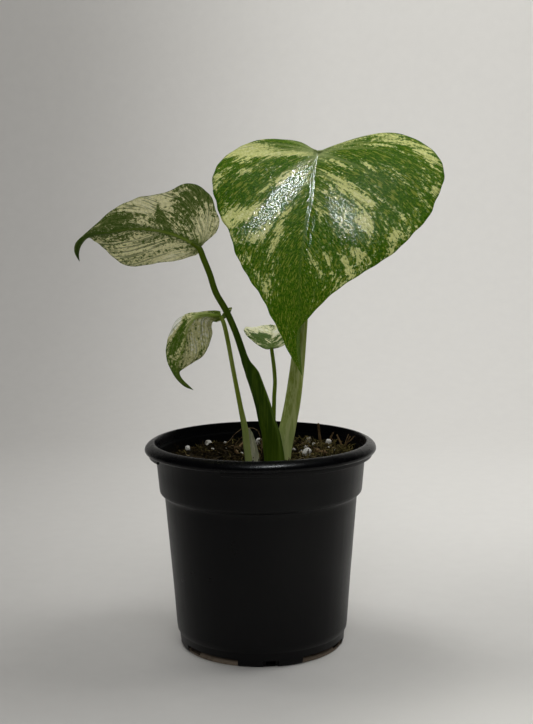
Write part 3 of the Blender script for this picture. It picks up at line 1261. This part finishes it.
def pot_ring(angle):
    """The whole profile at one angle, counted from the front towards +X."""
    quarter_angle = (angle - FOOT_TURN) % 90
    narrow = any(in_span(quarter_angle, centre, NARROW_CUT["span"]) for centre in (0, 90))
    wide = in_span(quarter_angle, 45, WIDE_CUT["span"])
    gap = any(in_span(angle, centre, SKIRT_GAP_WIDTH) for centre in SKIRT_GAP_CENTRES)
    ring = []
    for radius, height in OUTER_PROFILE:
        if wide and height < WIDE_CUT["height"]:
            plate = WIDE_CUT["radius"] - WIDE_CUT["slope"] * height
            radius = min(radius, GROOVE["radius"] if height > GROOVE["low"] else plate)
        if narrow and height < NARROW_CUT["height"]:
            radius = min(radius, NARROW_CUT["radius"])
        ring.append((radius, height))
    for radius, height in SKIRT_PROFILE:
        ring.append((radius, SKIRT_TOP + SKIRT_REST * (height - SKIRT_TOP) if gap else height))
    return ring + LIP_PROFILE


# %% Finish of the pot
SMUDGES = [  # x, z, half width, half height
    (-0.0135, 0.0640, 0.0012, 0.0028), (-0.0125, 0.0605, 0.0016, 0.0020), (-0.034, 0.0455, 0.0022, 0.0012),
    (-0.0255, 0.0445, 0.0015, 0.0014), (-0.040, 0.0395, 0.0010, 0.0010),
]


def smudges(skin, place):
    """Small black spots on the front of the wall, with ragged edges."""
    marks = 0
    for x, z, wide, high in SMUDGES:
        across = (skin.part(place, 0) - x) / wide
        up = (skin.part(place, 2) - z) / high
        marks = marks + (1 - (across * across + up * up).rise(0.2, 1.6))
    ragged = skin.cloud(place, 1300, 4, 0.75).rise(0.36, 0.55)
    front = 1 - skin.part(place, 1).rise(-0.02, 0.0)
    return (marks * ragged * front).rise(0, 1)


def pot_finish():
    skin = Finish("black_pot_plastic")
    place = skin.place()
    haze = skin.cloud(place, 55, 4, 0.6)
    dust = skin.cloud(place, 900, 4, 0.7).rise(0.60, 0.72)
    colour = skin.mix(haze, (0.0012, 0.0012, 0.0015), (0.0028, 0.0028, 0.0034))
    colour = skin.mix(dust * 0.2, colour, (0.016, 0.015, 0.013))
    soiled = skin.mark("plate_edge") * skin.cloud(place, 160, 4, 0.7).rise(0.25, 0.5)
    colour = skin.mix(soiled * 0.9, colour, (0.17, 0.135, 0.10))
    spots = smudges(skin, place)
    colour = skin.mix(spots * 0.85, colour, (0.0006, 0.0006, 0.0008))
    rough = haze * 0.16 + 0.30 + dust * 0.25 + soiled * 0.3 - spots * 0.12
    rough = rough - skin.part(place, 2).rise(0.1010, 0.1022) * 0.10
    grain = skin.cloud(place, 2200, 3, 0.6)
    flow = skin.cloud(skin.stretch(place, (220, 220, 12)), 1, 2)
    return skin.done(colour, rough, skin.bump(grain * 0.12 + flow * 0.25, 0.0003), 0.16)


def pot_inside_finish():
    """The same plastic, but dull with dust and splashes of wet mix above the mound."""
    skin = Finish("dusty_pot_inside")
    place = skin.place()
    dirt = skin.cloud(place, 420, 5, 0.75) - skin.part(place, 2).rise(0.097, 0.104) * 0.16
    haze = skin.cloud(place, 60, 3)
    colour = skin.mix(haze, (0.0010, 0.0010, 0.0012), (0.0022, 0.0022, 0.0026))
    colour = skin.mix(dirt.rise(0.52, 0.60) * 0.8, colour, (0.022, 0.016, 0.008))
    return skin.done(colour, haze * 0.2 + 0.45, skin.bump(dirt, 0.0002), 0.04)


# %% Turn the pot
def turn_pot():
    angles = pot_angles()
    rings = [pot_ring(angle) for angle in angles]
    inner = len(rings[0]) - 2
    inside_from = len(OUTER_PROFILE) + len(SKIRT_PROFILE) + LIP_PROFILE.index(INSIDE_STARTS) - 1
    points, faces, kinds = [], [], []
    for angle, ring in zip(angles, rings):
        s, c = math.sin(math.radians(angle)), math.cos(math.radians(angle))
        points += [(radius * s, -radius * c, height) for radius, height in ring[1:-1]]
    low, high = len(points), len(points) + 1
    points += [(0, 0, rings[0][0][1]), (0, 0, rings[0][-1][1])]
    for i in range(len(angles)):
        a, b = i * inner, ((i + 1) % len(angles)) * inner
        faces.append([low, b, a])
        faces += [[a + k, b + k, b + k + 1, a + k + 1] for k in range(inner - 1)]
        faces.append([high, a + inner - 1, b + inner - 1])
        kinds += [0] + [int(k >= inside_from) for k in range(inner - 1)] + [1]
    return new_mesh("nursery_pot", points, faces, [pot_finish(), pot_inside_finish()], kinds)


pot = turn_pot()
print("pot before its drain holes:", len(pot.data.polygons), "faces")


# %% Cut the drain holes
BOX_FACES = ((0, 1, 3, 2), (4, 6, 7, 5), (0, 4, 5, 1), (2, 3, 7, 6), (0, 2, 6, 4), (1, 5, 7, 3))
SHARP_ANGLE = math.radians(38)


def hole_boxes():
    """A box through the foot for each hole: one in each narrow cut and one at an end of each wide cut."""
    points, faces = [], []
    for quarter in range(4):
        narrow = FOOT_TURN + 90 * quarter
        far_end = HOLE["near_end"] * (1 if quarter % 2 == 0 else -1)
        for angle, width in ((narrow, HOLE["narrow"]), (narrow + 45 + far_end, HOLE["wide"])):
            s, c = math.sin(math.radians(angle)), math.cos(math.radians(angle))
            faces += [[len(points) + k for k in face] for face in BOX_FACES]
            for out in (HOLE["reach"] - HOLE["length"] / 2, HOLE["reach"] + HOLE["length"] / 2):
                for side in (-width / 2, width / 2):
                    for height in (HOLE["low"], HOLE["low"] + HOLE["height"]):
                        points.append((out * s + side * c, -out * c + side * s, height))
    return new_mesh("hole_boxes", points, faces, [], smooth=False)


def plain_copy(made):
    """The evaluated object as a plain mesh, with its modifiers gone."""
    graph = bpy.context.evaluated_depsgraph_get()
    mesh = bpy.data.meshes.new_from_object(made.evaluated_get(graph))
    made.modifiers.clear()
    made.data = mesh
    mesh.name = made.name
    return made


def cut(made, cutter):
    step = made.modifiers.new("cut", "BOOLEAN")
    step.object = cutter
    step.solver = "EXACT"
    plain_copy(made)
    bpy.data.objects.remove(cutter)


def mark_plate_edge(made):
    """1 where the floor plate shows in a wide cut of the foot. Its edge is dusty."""
    points = np.empty(len(made.data.vertices) * 3, np.float32)
    made.data.vertices.foreach_get("co", points)
    points = points.reshape(-1, 3) / MM
    radius = np.hypot(points[:, 0], points[:, 1])
    angle = np.degrees(np.arctan2(points[:, 0], -points[:, 1]))
    from_centre = np.abs((angle - FOOT_TURN) % 90 - 45)
    shows = (from_centre < WIDE_CUT["span"] / 2 - 0.1) & (points[:, 2] < GROOVE["low"]) & (radius > 40.9)
    lay_values(made, "plate_edge", shows)


cut(pot, hole_boxes())
mark_plate_edge(pot)
pot.data.set_sharp_from_angle(angle=SHARP_ANGLE)
settle(pot, "pot_plastic", "pot")

# %% [markdown]
# ## Potting mix
# The mix is a dark mound of bark and peat with brown mossy fibres, white perlite and a few twigs. The
# mound is a raised disc on a plain plug. What lies on it repeats, so Geometry Nodes scatter it.

# %% The mound
SOIL_LEVEL = 97
SOIL_MOUND = 1.8
SOIL_LIFT = 0.02
SOIL_BUMP = 0.55
MOUND_RADIUS = 52.6
MOUND_GRID = (64, 160)
PLUG_FLOOR = 2.3
PLUG_WALLS = [(51.6, 88), (50.6, 84), (47.8, 77), (42.2, 12), (38, PLUG_FLOOR)]


def soil_height(x, y):
    mound = SOIL_MOUND * (1 - (np.hypot(x, y) / 54) ** 2)
    bumps = np.sin(0.55 * x + 1.3) * np.cos(0.48 * y) + 0.6 * np.sin(1.05 * x - 0.9 * y)
    return SOIL_LEVEL + mound + SOIL_LIFT * x + SOIL_BUMP * bumps


def crumbly(x, y):
    """Finer lumps on top of the mound."""
    lumps = 0.35 * np.sin(2.3 * x + 0.7 * y) * np.sin(1.9 * y - 0.4 * x + 1)
    return lumps + 0.22 * np.sin(4.1 * x + 2) * np.sin(3.7 * y + 1.1 * x)


def crumbly_rings(radii, sides):
    """Points of the mound's top on rings of these radii."""
    angle = np.linspace(0, 2 * np.pi, sides, endpoint=False)
    x = radii[:, None] * np.cos(angle)
    y = radii[:, None] * np.sin(angle)
    return np.stack([x, y, soil_height(x, y) + crumbly(x, y)], axis=-1).reshape(-1, 3)


def soil_finish():
    skin = Finish("dark_potting_mix")
    place = skin.place()
    lumps = skin.cloud(place, 420, 5, 0.7)
    bits = skin.cells(place, 900)
    colour = skin.mix(lumps.rise(0.4, 0.65), (0.003, 0.0025, 0.0015), (0.014, 0.011, 0.005))
    colour = skin.mix(bits.rise(0.5, 0.9) * 0.4, colour, (0.03, 0.022, 0.009))
    return skin.done(colour, 0.9, skin.bump(lumps + bits * 0.5, 0.0012), 0.02)


def build_mound():
    rings, sides = MOUND_GRID
    top = crumbly_rings(MOUND_RADIUS * np.linspace(0, 1, rings + 1)[1:], sides)
    angle = np.linspace(0, 2 * np.pi, sides, endpoint=False)
    walls = [np.stack([r * np.cos(angle), r * np.sin(angle), 0 * angle + z], axis=-1) for r, z in PLUG_WALLS]
    ends = [(0, 0, SOIL_LEVEL + SOIL_MOUND), (0, 0, PLUG_FLOOR)]
    total = rings + len(PLUG_WALLS)
    faces = turned(tube_faces(total, sides) + cap_faces(total, sides))
    return new_mesh("potting_mix_mound", np.vstack([top, *walls, ends]), faces, [soil_finish()])


mound = build_mound()
settle(mound, "potting_mix", "potting_mix")

# %% [markdown]
# ## Scattering with Geometry Nodes
# Crumbs and fibres are far too many to place by hand. A recipe is a node group with named inputs for
# its sizes and its seed. It spreads points over a patch of the mound, puts a shape on each, makes the
# copies real, and names their finish. The result is read back as a plain mesh.

# %% A recipe for growing small things
class Recipe(NodeSheet):
    """A Geometry Nodes group with a geometry input, named number inputs and a geometry output."""

    def __init__(self, name, numbers):
        tree = bpy.data.node_groups.new(name, "GeometryNodeTree")
        super().__init__(tree)
        tree.interface.new_socket("Geometry", in_out="INPUT", socket_type="NodeSocketGeometry")
        for label, value in numbers.items():
            kind = "NodeSocketInt" if isinstance(value, int) else "NodeSocketFloat"
            tree.interface.new_socket(label, in_out="INPUT", socket_type=kind).default_value = value
        tree.interface.new_socket("Geometry", in_out="OUTPUT", socket_type="NodeSocketGeometry")
        self.start = tree.nodes.new("NodeGroupInput")
        self.end = tree.nodes.new("NodeGroupOutput")

    def given(self, label):
        return Wire(self, self.start.outputs[label])

    def position(self):
        return self.node("GeometryNodeInputPosition")

    def chance(self, low, high, seed):
        """A random number for each copy, or three where the bounds are vectors."""
        vectors = isinstance(low, tuple)
        sockets = {0: low, 1: high} if vectors else {2: low, 3: high}
        settings = {"data_type": "FLOAT_VECTOR" if vectors else "FLOAT"}
        return self.node("FunctionNodeRandomValue", settings, {**sockets, "Seed": seed}, 0 if vectors else 1)

    def spread(self, density):
        """Random points on the input's faces."""
        sockets = {"Mesh": self.given("Geometry"), "Density": density, "Seed": self.given("Seed")}
        return self.node("GeometryNodeDistributePointsOnFaces", None, sockets)

    def copies(self, points, shape, turn, size):
        """The shape on every point, as real geometry."""
        sockets = {"Points": points, "Instance": shape, "Rotation": turn, "Scale": size}
        placed = self.node("GeometryNodeInstanceOnPoints", None, sockets)
        return self.node("GeometryNodeRealizeInstances", None, {0: placed})

    def scaled(self, vector, factor):
        return self.node("ShaderNodeVectorMath", {"operation": "SCALE"}, {0: vector, "Scale": factor})

    def moved(self, geometry, **how):
        return self.node("GeometryNodeSetPosition", None, {"Geometry": geometry, **how})

    def close(self, geometry, finish):
        dressed = self.node("GeometryNodeSetMaterial", None, {"Geometry": geometry, "Material": finish})
        self.tree.links.new(dressed.socket, self.end.inputs[0])


def grow(recipe, made, numbers):
    """Runs a recipe on an object and keeps the result as its plain mesh."""
    step = made.modifiers.new("grow", "NODES")
    step.node_group = recipe.tree
    for item in recipe.tree.interface.items_tree:
        if item.in_out == "INPUT" and item.name in numbers:
            step[item.identifier] = numbers[item.name]
    return plain_copy(made)


# %% The patch of mound that things lie on
PATCH_GRID = (40, 96)
PATCH_HOLE = 0.5


def top_patch(name, inner=0.0, outer=51.0):
    """A copy of the mound's top, as a ring between two radii."""
    rings, sides = PATCH_GRID
    points = crumbly_rings(np.linspace(max(inner, PATCH_HOLE), outer, rings + 1), sides)
    return new_mesh(name, points, turned(tube_faces(rings + 1, sides)), [])


# %% Crumbs of bark and peat
FULL_TURN = (6.28, 6.28, 6.28)
CRUMB_SHOVE = 0.0016
BARK_TONES = [(0.005, 0.0035, 0.002), (0.034, 0.024, 0.010)]
BARK_RELIEF = (1500, 4, 0.7, 0.0005)


def crumb_recipe():
    numbers = {"Count per square metre": 1.0, "Least size": 1.0, "Most size": 1.0, "Seed": 1}
    recipe = Recipe("scatter crumbs", numbers)
    points = recipe.spread(recipe.given("Count per square metre"))
    lump = recipe.node("GeometryNodeMeshIcoSphere", None, {"Radius": 1.0, "Subdivisions": 1})
    turn = recipe.chance((0, 0, 0), FULL_TURN, recipe.given("Seed"))
    scale = recipe.chance(recipe.given("Least size"), recipe.given("Most size"), recipe.given("Seed"))
    flat = recipe.chance((0.5, 0.5, 0.3), (1.4, 1.0, 0.8), 77)
    real = recipe.copies(points, lump, turn, recipe.vector("MULTIPLY", flat, scale))
    noise = recipe.cloud(recipe.position(), 900.0, 2.0, out="Color")
    centred = recipe.vector("SUBTRACT", noise, (0.5, 0.5, 0.5))
    shove = recipe.vector("MULTIPLY", centred, (CRUMB_SHOVE, CRUMB_SHOVE, CRUMB_SHOVE))
    bark = two_tone_finish("bark_crumbs", 260, (0.35, 0.65), BARK_TONES, 0.85, 0.03, BARK_RELIEF)
    recipe.close(recipe.moved(real, Offset=shove), bark)
    return recipe


bark_crumbs = grow(
    crumb_recipe(),
    top_patch("bark_crumbs", 0, 50.3),
    {"Count per square metre": 260000.0, "Least size": 0.0004, "Most size": 0.0012, "Seed": 4},
)
settle(bark_crumbs, "potting_mix")

# %% [markdown]
# The mossy fibres are short curved hairs in several browns. Each starts as a straight line that noise
# bends, so no two are alike, and a three-sided tube keeps each one cheap.

# %% Mossy fibres
WALL_CLEARANCE = 0.0518
LINE_POINTS = 9


def kept_in_pot(recipe, geometry, shove):
    """Moves points by a shove, but no further out than the pot's inner wall."""
    there = recipe.vector("ADD", recipe.position(), shove)
    level = recipe.vector("MULTIPLY", there, (1, 1, 0))
    reach = recipe.node("ShaderNodeVectorMath", {"operation": "LENGTH"}, {0: level}, "Value")
    shrink = (WALL_CLEARANCE / reach).at_most(1.0)
    scale = recipe.node("ShaderNodeCombineXYZ", None, {0: shrink, 1: shrink, 2: 1.0})
    return recipe.moved(geometry, Position=recipe.vector("MULTIPLY", there, scale))


def clumps(recipe):
    """Where moss gathers: in patches, and far more on the right."""
    where = recipe.position()
    patch = recipe.cloud(where, 95.0, 1.0).rise(0.4, 0.56)
    rightwards = recipe.part(where, 0).rise(-0.022, 0.012)
    return patch * (rightwards * 0.94 + 0.06)


def fibre_recipe(name, finish):
    numbers = {"Count per square metre": 1.0, "Length": 0.01, "Thickness": 0.0002, "Curl": 0.003, "Seed": 1}
    recipe = Recipe(name, numbers)
    points = recipe.spread(clumps(recipe) * recipe.given("Count per square metre"))
    reach = recipe.node("ShaderNodeCombineXYZ", None, {2: recipe.given("Length")})
    line = recipe.node("GeometryNodeCurvePrimitiveLine", None, {"End": reach})
    steps = {"Curve": line, "Count": LINE_POINTS}
    dense = recipe.node("GeometryNodeResampleCurve", {"mode": "COUNT"}, steps)
    lean = recipe.chance((0.95, -0.3, 0), (1.68, 0.3, 6.28), recipe.given("Seed"))
    real = recipe.copies(points, dense, lean, recipe.chance(0.45, 1.2, 5))
    noise = recipe.cloud(recipe.position(), 230.0, 2.0, out="Color")
    centred = recipe.vector("SUBTRACT", noise, (0.5, 0.5, 0.46))
    far = recipe.node("GeometryNodeSplineParameter") * recipe.given("Curl")
    curved = kept_in_pot(recipe, real, recipe.scaled(centred, far))
    profile = {"Resolution": 3, "Radius": recipe.given("Thickness")}
    circle = recipe.node("GeometryNodeCurvePrimitiveCircle", None, profile)
    tubes = {"Curve": curved, "Profile Curve": circle, "Fill Caps": True}
    recipe.close(recipe.node("GeometryNodeCurveToMesh", None, tubes), finish)
    return recipe


def fibre_finish(name, *tones):
    return two_tone_finish(name, 180, (0.38, 0.62), tones, 0.75, 0.08)


brown = fibre_finish("brown_moss_fibre", (0.022, 0.018, 0.006), (0.13, 0.105, 0.036))
tan = fibre_finish("pale_root_fibre", (0.12, 0.09, 0.04), (0.36, 0.29, 0.16))
moss = grow(
    fibre_recipe("grow brown fibres", brown),
    top_patch("moss_fibres", 8, 50),
    {"Count per square metre": 330000.0, "Length": 0.0050, "Thickness": 0.00028, "Curl": 0.009, "Seed": 8},
)
settle(moss, "potting_mix")
roots = grow(
    fibre_recipe("grow pale fibres", tan),
    top_patch("pale_fibres", 10, 48),
    {"Count per square metre": 16000.0, "Length": 0.008, "Thickness": 0.00022, "Curl": 0.012, "Seed": 3},
)
settle(roots, "potting_mix")

# %% [markdown]
# ## Perlite
# Perlite is puffed volcanic glass: white, light beads with a pitted skin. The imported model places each
# bead, some where the photo shows them and the rest by a seeded draw. The same draw is repeated here.

# %% Where the beads and sticks are
SEED = 11
SEEN_BEADS = [  # x, y, radius
    (-39.5, 23.5, 1.8), (-29, 38, 2.1), (-1, 36, 1.9), (26.5, 35, 1.9), (37, 30, 2), (24.3, 17, 1.3),
    (24, -3.5, 2.4),
]
MORE_BEADS = 22
MORE_STICKS = 18
CLEAR_OF_STALKS = 12
BEAD_RADIUS, STICK_RADIUS = 48, 40  # how far out beads and sticks may lie
DRAW_FACTOR, DRAW_STEP, DRAW_RANGE = 1664525, 1013904223, 4294967296
STALK_FEET = [(10.8, -17), (7, -26), (-6, -20.5), (6, -9), (-2.7, -18.4)]


def draw_small_things():
    """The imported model's own sequence of beads and sticks."""
    state = SEED
    beads, sticks = list(SEEN_BEADS), []

    def chance():
        nonlocal state
        state = (state * DRAW_FACTOR + DRAW_STEP) % DRAW_RANGE
        return state / DRAW_RANGE

    while len(beads) < len(SEEN_BEADS) + MORE_BEADS or len(sticks) < MORE_STICKS:
        angle = 2 * math.pi * chance()
        radius = BEAD_RADIUS * math.sqrt(chance())
        x, y = radius * math.cos(angle), radius * math.sin(angle)
        size, turn = chance(), 360 * chance()
        if any(math.hypot(x - fx, y - fy) < CLEAR_OF_STALKS for fx, fy in STALK_FEET):
            continue
        if len(beads) < len(SEEN_BEADS) + MORE_BEADS:
            beads.append((x, y, 1.1 + size))
        elif radius < STICK_RADIUS:
            sticks.append((x, y, 7 + 6 * size, 0.6 + 0.3 * size, 60 + 25 * size, turn))
    return beads, sticks


beads, drawn_sticks = draw_small_things()
print(len(beads), "beads and", len(drawn_sticks), "drawn sticks")


# %% Finish and shape of the perlite
def perlite_finish():
    skin = Finish("white_perlite")
    place = skin.place()
    stain = skin.cloud(place, 330, 4, 0.65)
    colour = skin.mix(stain.rise(0.42, 0.7), (0.62, 0.61, 0.57), (0.30, 0.27, 0.22))
    height = skin.cloud(place, 1500, 4, 0.7) + skin.cells(place, 1900) * 0.6
    return skin.done(colour, 0.85, skin.bump(height, 0.0004))


def perlite_recipe():
    recipe = Recipe("place beads", {"Lumpiness": 0.001, "Seed": 1})
    ball = recipe.node("GeometryNodeMeshIcoSphere", None, {"Radius": 1.0, "Subdivisions": 4})
    size = recipe.node("GeometryNodeInputNamedAttribute", {"data_type": "FLOAT"}, {"Name": "bead_radius"})
    squat = recipe.chance((0.85, 0.75, 0.65), (1.1, 1.0, 0.95), recipe.given("Seed"))
    sized = recipe.vector("MULTIPLY", squat, size)
    real = recipe.copies(recipe.given("Geometry"), ball, recipe.chance((0, 0, 0), FULL_TURN, 9), sized)
    push = (recipe.cloud(recipe.position(), 520.0, 3.0) - 0.5) * recipe.given("Lumpiness")
    lumpy = recipe.moved(real, Offset=recipe.scaled(recipe.node("GeometryNodeInputNormal"), push))
    recipe.close(recipe.node("GeometryNodeSetShadeSmooth", None, {"Geometry": lumpy}), perlite_finish())
    return recipe


DRAWN_BEAD_SHARE = 0.6


def build_perlite():
    """The drawn beads are mostly sunk, so they are made smaller than the ones that the photo shows."""
    points, radii = [], []
    for number, (x, y, radius) in enumerate(beads):
        share = 1 if number < len(SEEN_BEADS) else DRAWN_BEAD_SHARE
        points.append((x, y, float(soil_height(x, y)) + (1.4 * share - 0.6) * radius))
        radii.append(radius * share * MM)
    spots = new_mesh("perlite_beads", points, [], [])
    lay_values(spots, "bead_radius", radii)
    return grow(perlite_recipe(), spots, {"Lumpiness": 0.0012, "Seed": 2})


perlite = build_perlite()
settle(perlite, "potting_mix")

# %% [markdown]
# ## Sticks and twigs
# Bark slivers, a broken twig or two and stiff roots lie on the mix or stand out of it. Each is a
# tapering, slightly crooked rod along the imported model's own stick, with rough bark in its finish.

# %% Build the sticks
SEEN_STICKS = [  # x, y, length, radius, lean, turn
    (33, 34, 15, 0.9, 8, 200), (36.5, 33, 9, 0.7, 35, 30), (44, 22, 9, 0.6, 30, 140),
    (44.6, 19.8, 9.5, 0.6, 30, 20), (29.5, 14, 24, 1.5, 84, 285), (24, 8, 16, 1, 80, 320),
    (-13, 20, 14, 0.6, 60, 50), (-12, 4, 12, 0.8, 78, 100),
]
STICK_SIDES = 9
STICK_RINGS = 14
STICK_OFF_AXIS = [0.3, 0.2, 0.93]


def twig_finish():
    skin = Finish("twig_bark")
    place = skin.place()
    tone = skin.cloud(place, 140, 4, 0.6).rise(0.35, 0.65)
    fresh = skin.mix(tone, (0.05, 0.030, 0.014), (0.19, 0.125, 0.06))
    rotten = skin.mix(tone, (0.008, 0.006, 0.003), (0.035, 0.024, 0.010))
    height = skin.cloud(place, 1600, 4, 0.7)
    return skin.done(skin.mix(skin.mark("rotten"), fresh, rotten), 0.75, skin.bump(height, 0.0005), 0.1)


def add_rod(points, faces, centres, frames, sides, radius, ends):
    """Adds a closed rod. A frame is (side, back), and radius gives its size at a ring and an angle."""
    first = len(points)
    for number, (centre, (side, back)) in enumerate(zip(centres, frames)):
        for k in range(sides):
            angle = 2 * math.pi * k / sides
            spoke = math.cos(angle) * side + math.sin(angle) * back
            points.append(centre + radius(number, angle) * spoke)
    points += ends
    faces += tube_faces(len(centres), sides, first) + cap_faces(len(centres), sides, first)


def rod_frame(ahead, off_axis):
    side = unit(np.cross(ahead, off_axis))
    return side, np.cross(ahead, side)


def add_stick(points, faces, number, stick):
    x, y, length, thickness, lean, turn = stick
    tilt, way = math.radians(lean), math.radians(turn)
    ahead = np.array([math.sin(tilt) * math.cos(way), math.sin(tilt) * math.sin(way), math.cos(tilt)])
    base = np.array([x, y, float(soil_height(x, y))]) - 0.2 * length * ahead
    frame = rod_frame(ahead, STICK_OFF_AXIS)
    centres = []
    for share in (i / STICK_RINGS for i in range(STICK_RINGS + 1)):
        crook = 0.35 * thickness * math.sin(5 * share + number) * share
        centres.append(base + ahead * length * share + frame[0] * crook)

    def radius(ring, angle):
        share = ring / STICK_RINGS
        knob = 1 + 0.16 * math.sin(3 * angle + 7 * share + number) + 0.1 * math.sin(17 * share + 2 * number)
        return thickness * (1 - 0.4 * share) * knob

    ends = [base, base + ahead * (length + 0.3)]
    add_rod(points, faces, centres, [frame] * len(centres), STICK_SIDES, radius, ends)


def build_sticks():
    points, faces, rotten = [], [], []
    for number, stick in enumerate(SEEN_STICKS + drawn_sticks):
        add_stick(points, faces, number, stick)
        rotten += [number >= len(SEEN_STICKS)] * (len(points) - len(rotten))
    made = new_mesh("bark_sticks", points, faces, [twig_finish()])
    lay_values(made, "rotten", rotten)
    return made


sticks = build_sticks()
settle(sticks, "potting_mix")

# %% [markdown]
# ## Thin roots
# A few wiry roots have come up through the mix. One loops behind the drooping leaf's stalk, and some
# fine twigs fork on the right. Each is a thin tube along a smooth line through its own points.

# %% Build the thin roots
ROOT_SIDES = 6
ROOT_RINGS = 28
ROOT_OFF_AXIS = [0.25, 0.93, 0.28]
ROOT_LINES = [  # radius, then points of its line
    (0.34, [(-20, 30, 96.5), (-18.4, 22, 100.5), (-15.6, 11, 105.2), (-13.2, 2, 109.7), (-8.9, -6, 114.3)]),
    (0.30, [
        (-9.6, -5, 113.6), (-5.2, -14, 115.7), (-2.7, -8, 114.1), (-0.7, -4, 111.2), (0.6, -2, 104),
        (0.2, 0, 96.5),
    ]),
    (0.28, [(-12.5, 6, 96.5), (-13.6, 4, 101), (-12.2, 1, 105.5), (-9.4, -3, 109)]),
    (0.24, [(-10, 8, 96.5), (-10.6, 5, 100.5), (-14.2, 2, 103.5), (-17, 1, 103)]),
    (0.26, [(-15, 14, 96.5), (-12.4, 9, 101.5), (-9.8, 2, 103), (-8.6, -2, 106.5)]),
    (0.30, [(45.5, 24, 97), (45.9, 22, 101.5), (47.3, 20, 105.8)]),
    (0.30, [(45.9, 22, 100.2), (48.4, 20, 102.4), (50.3, 18, 105.2)]),
    (0.26, [(40, 25, 97), (39.4, 23, 101.2), (37.2, 20, 104.4)]),
    (0.26, [(28, 20, 97), (25.6, 14, 101.4), (22.8, 10, 103.4), (20.6, 6, 102.6)]),
]
ROOT_TONES = [(0.10, 0.06, 0.025), (0.30, 0.21, 0.11)]


def add_root(points, faces, thickness, stations):
    last = ROOT_RINGS - 1
    line = along_line(smooth_line(stations), np.linspace(0, 1, ROOT_RINGS))
    aheads = [unit(line[min(i + 1, last)] - line[max(i - 1, 0)]) for i in range(ROOT_RINGS)]
    frames = [rod_frame(ahead, ROOT_OFF_AXIS) for ahead in aheads]

    def radius(ring, angle):
        return thickness * (1 - 0.45 * ring / last) * (1 + 0.12 * math.sin(2.3 * ring))

    add_rod(points, faces, line, frames, ROOT_SIDES, radius, [line[0], line[-1]])


def build_roots():
    points, faces = [], []
    for thickness, stations in ROOT_LINES:
        add_root(points, faces, thickness, stations)
    relief = (2600, 3, 0.6, 0.0002)
    skin = two_tone_finish("wiry_root", 160, (0.38, 0.62), ROOT_TONES, 0.6, 0.15, relief)
    return new_mesh("thin_roots", points, faces, [skin])


thin_roots = build_roots()
settle(thin_roots, "potting_mix")
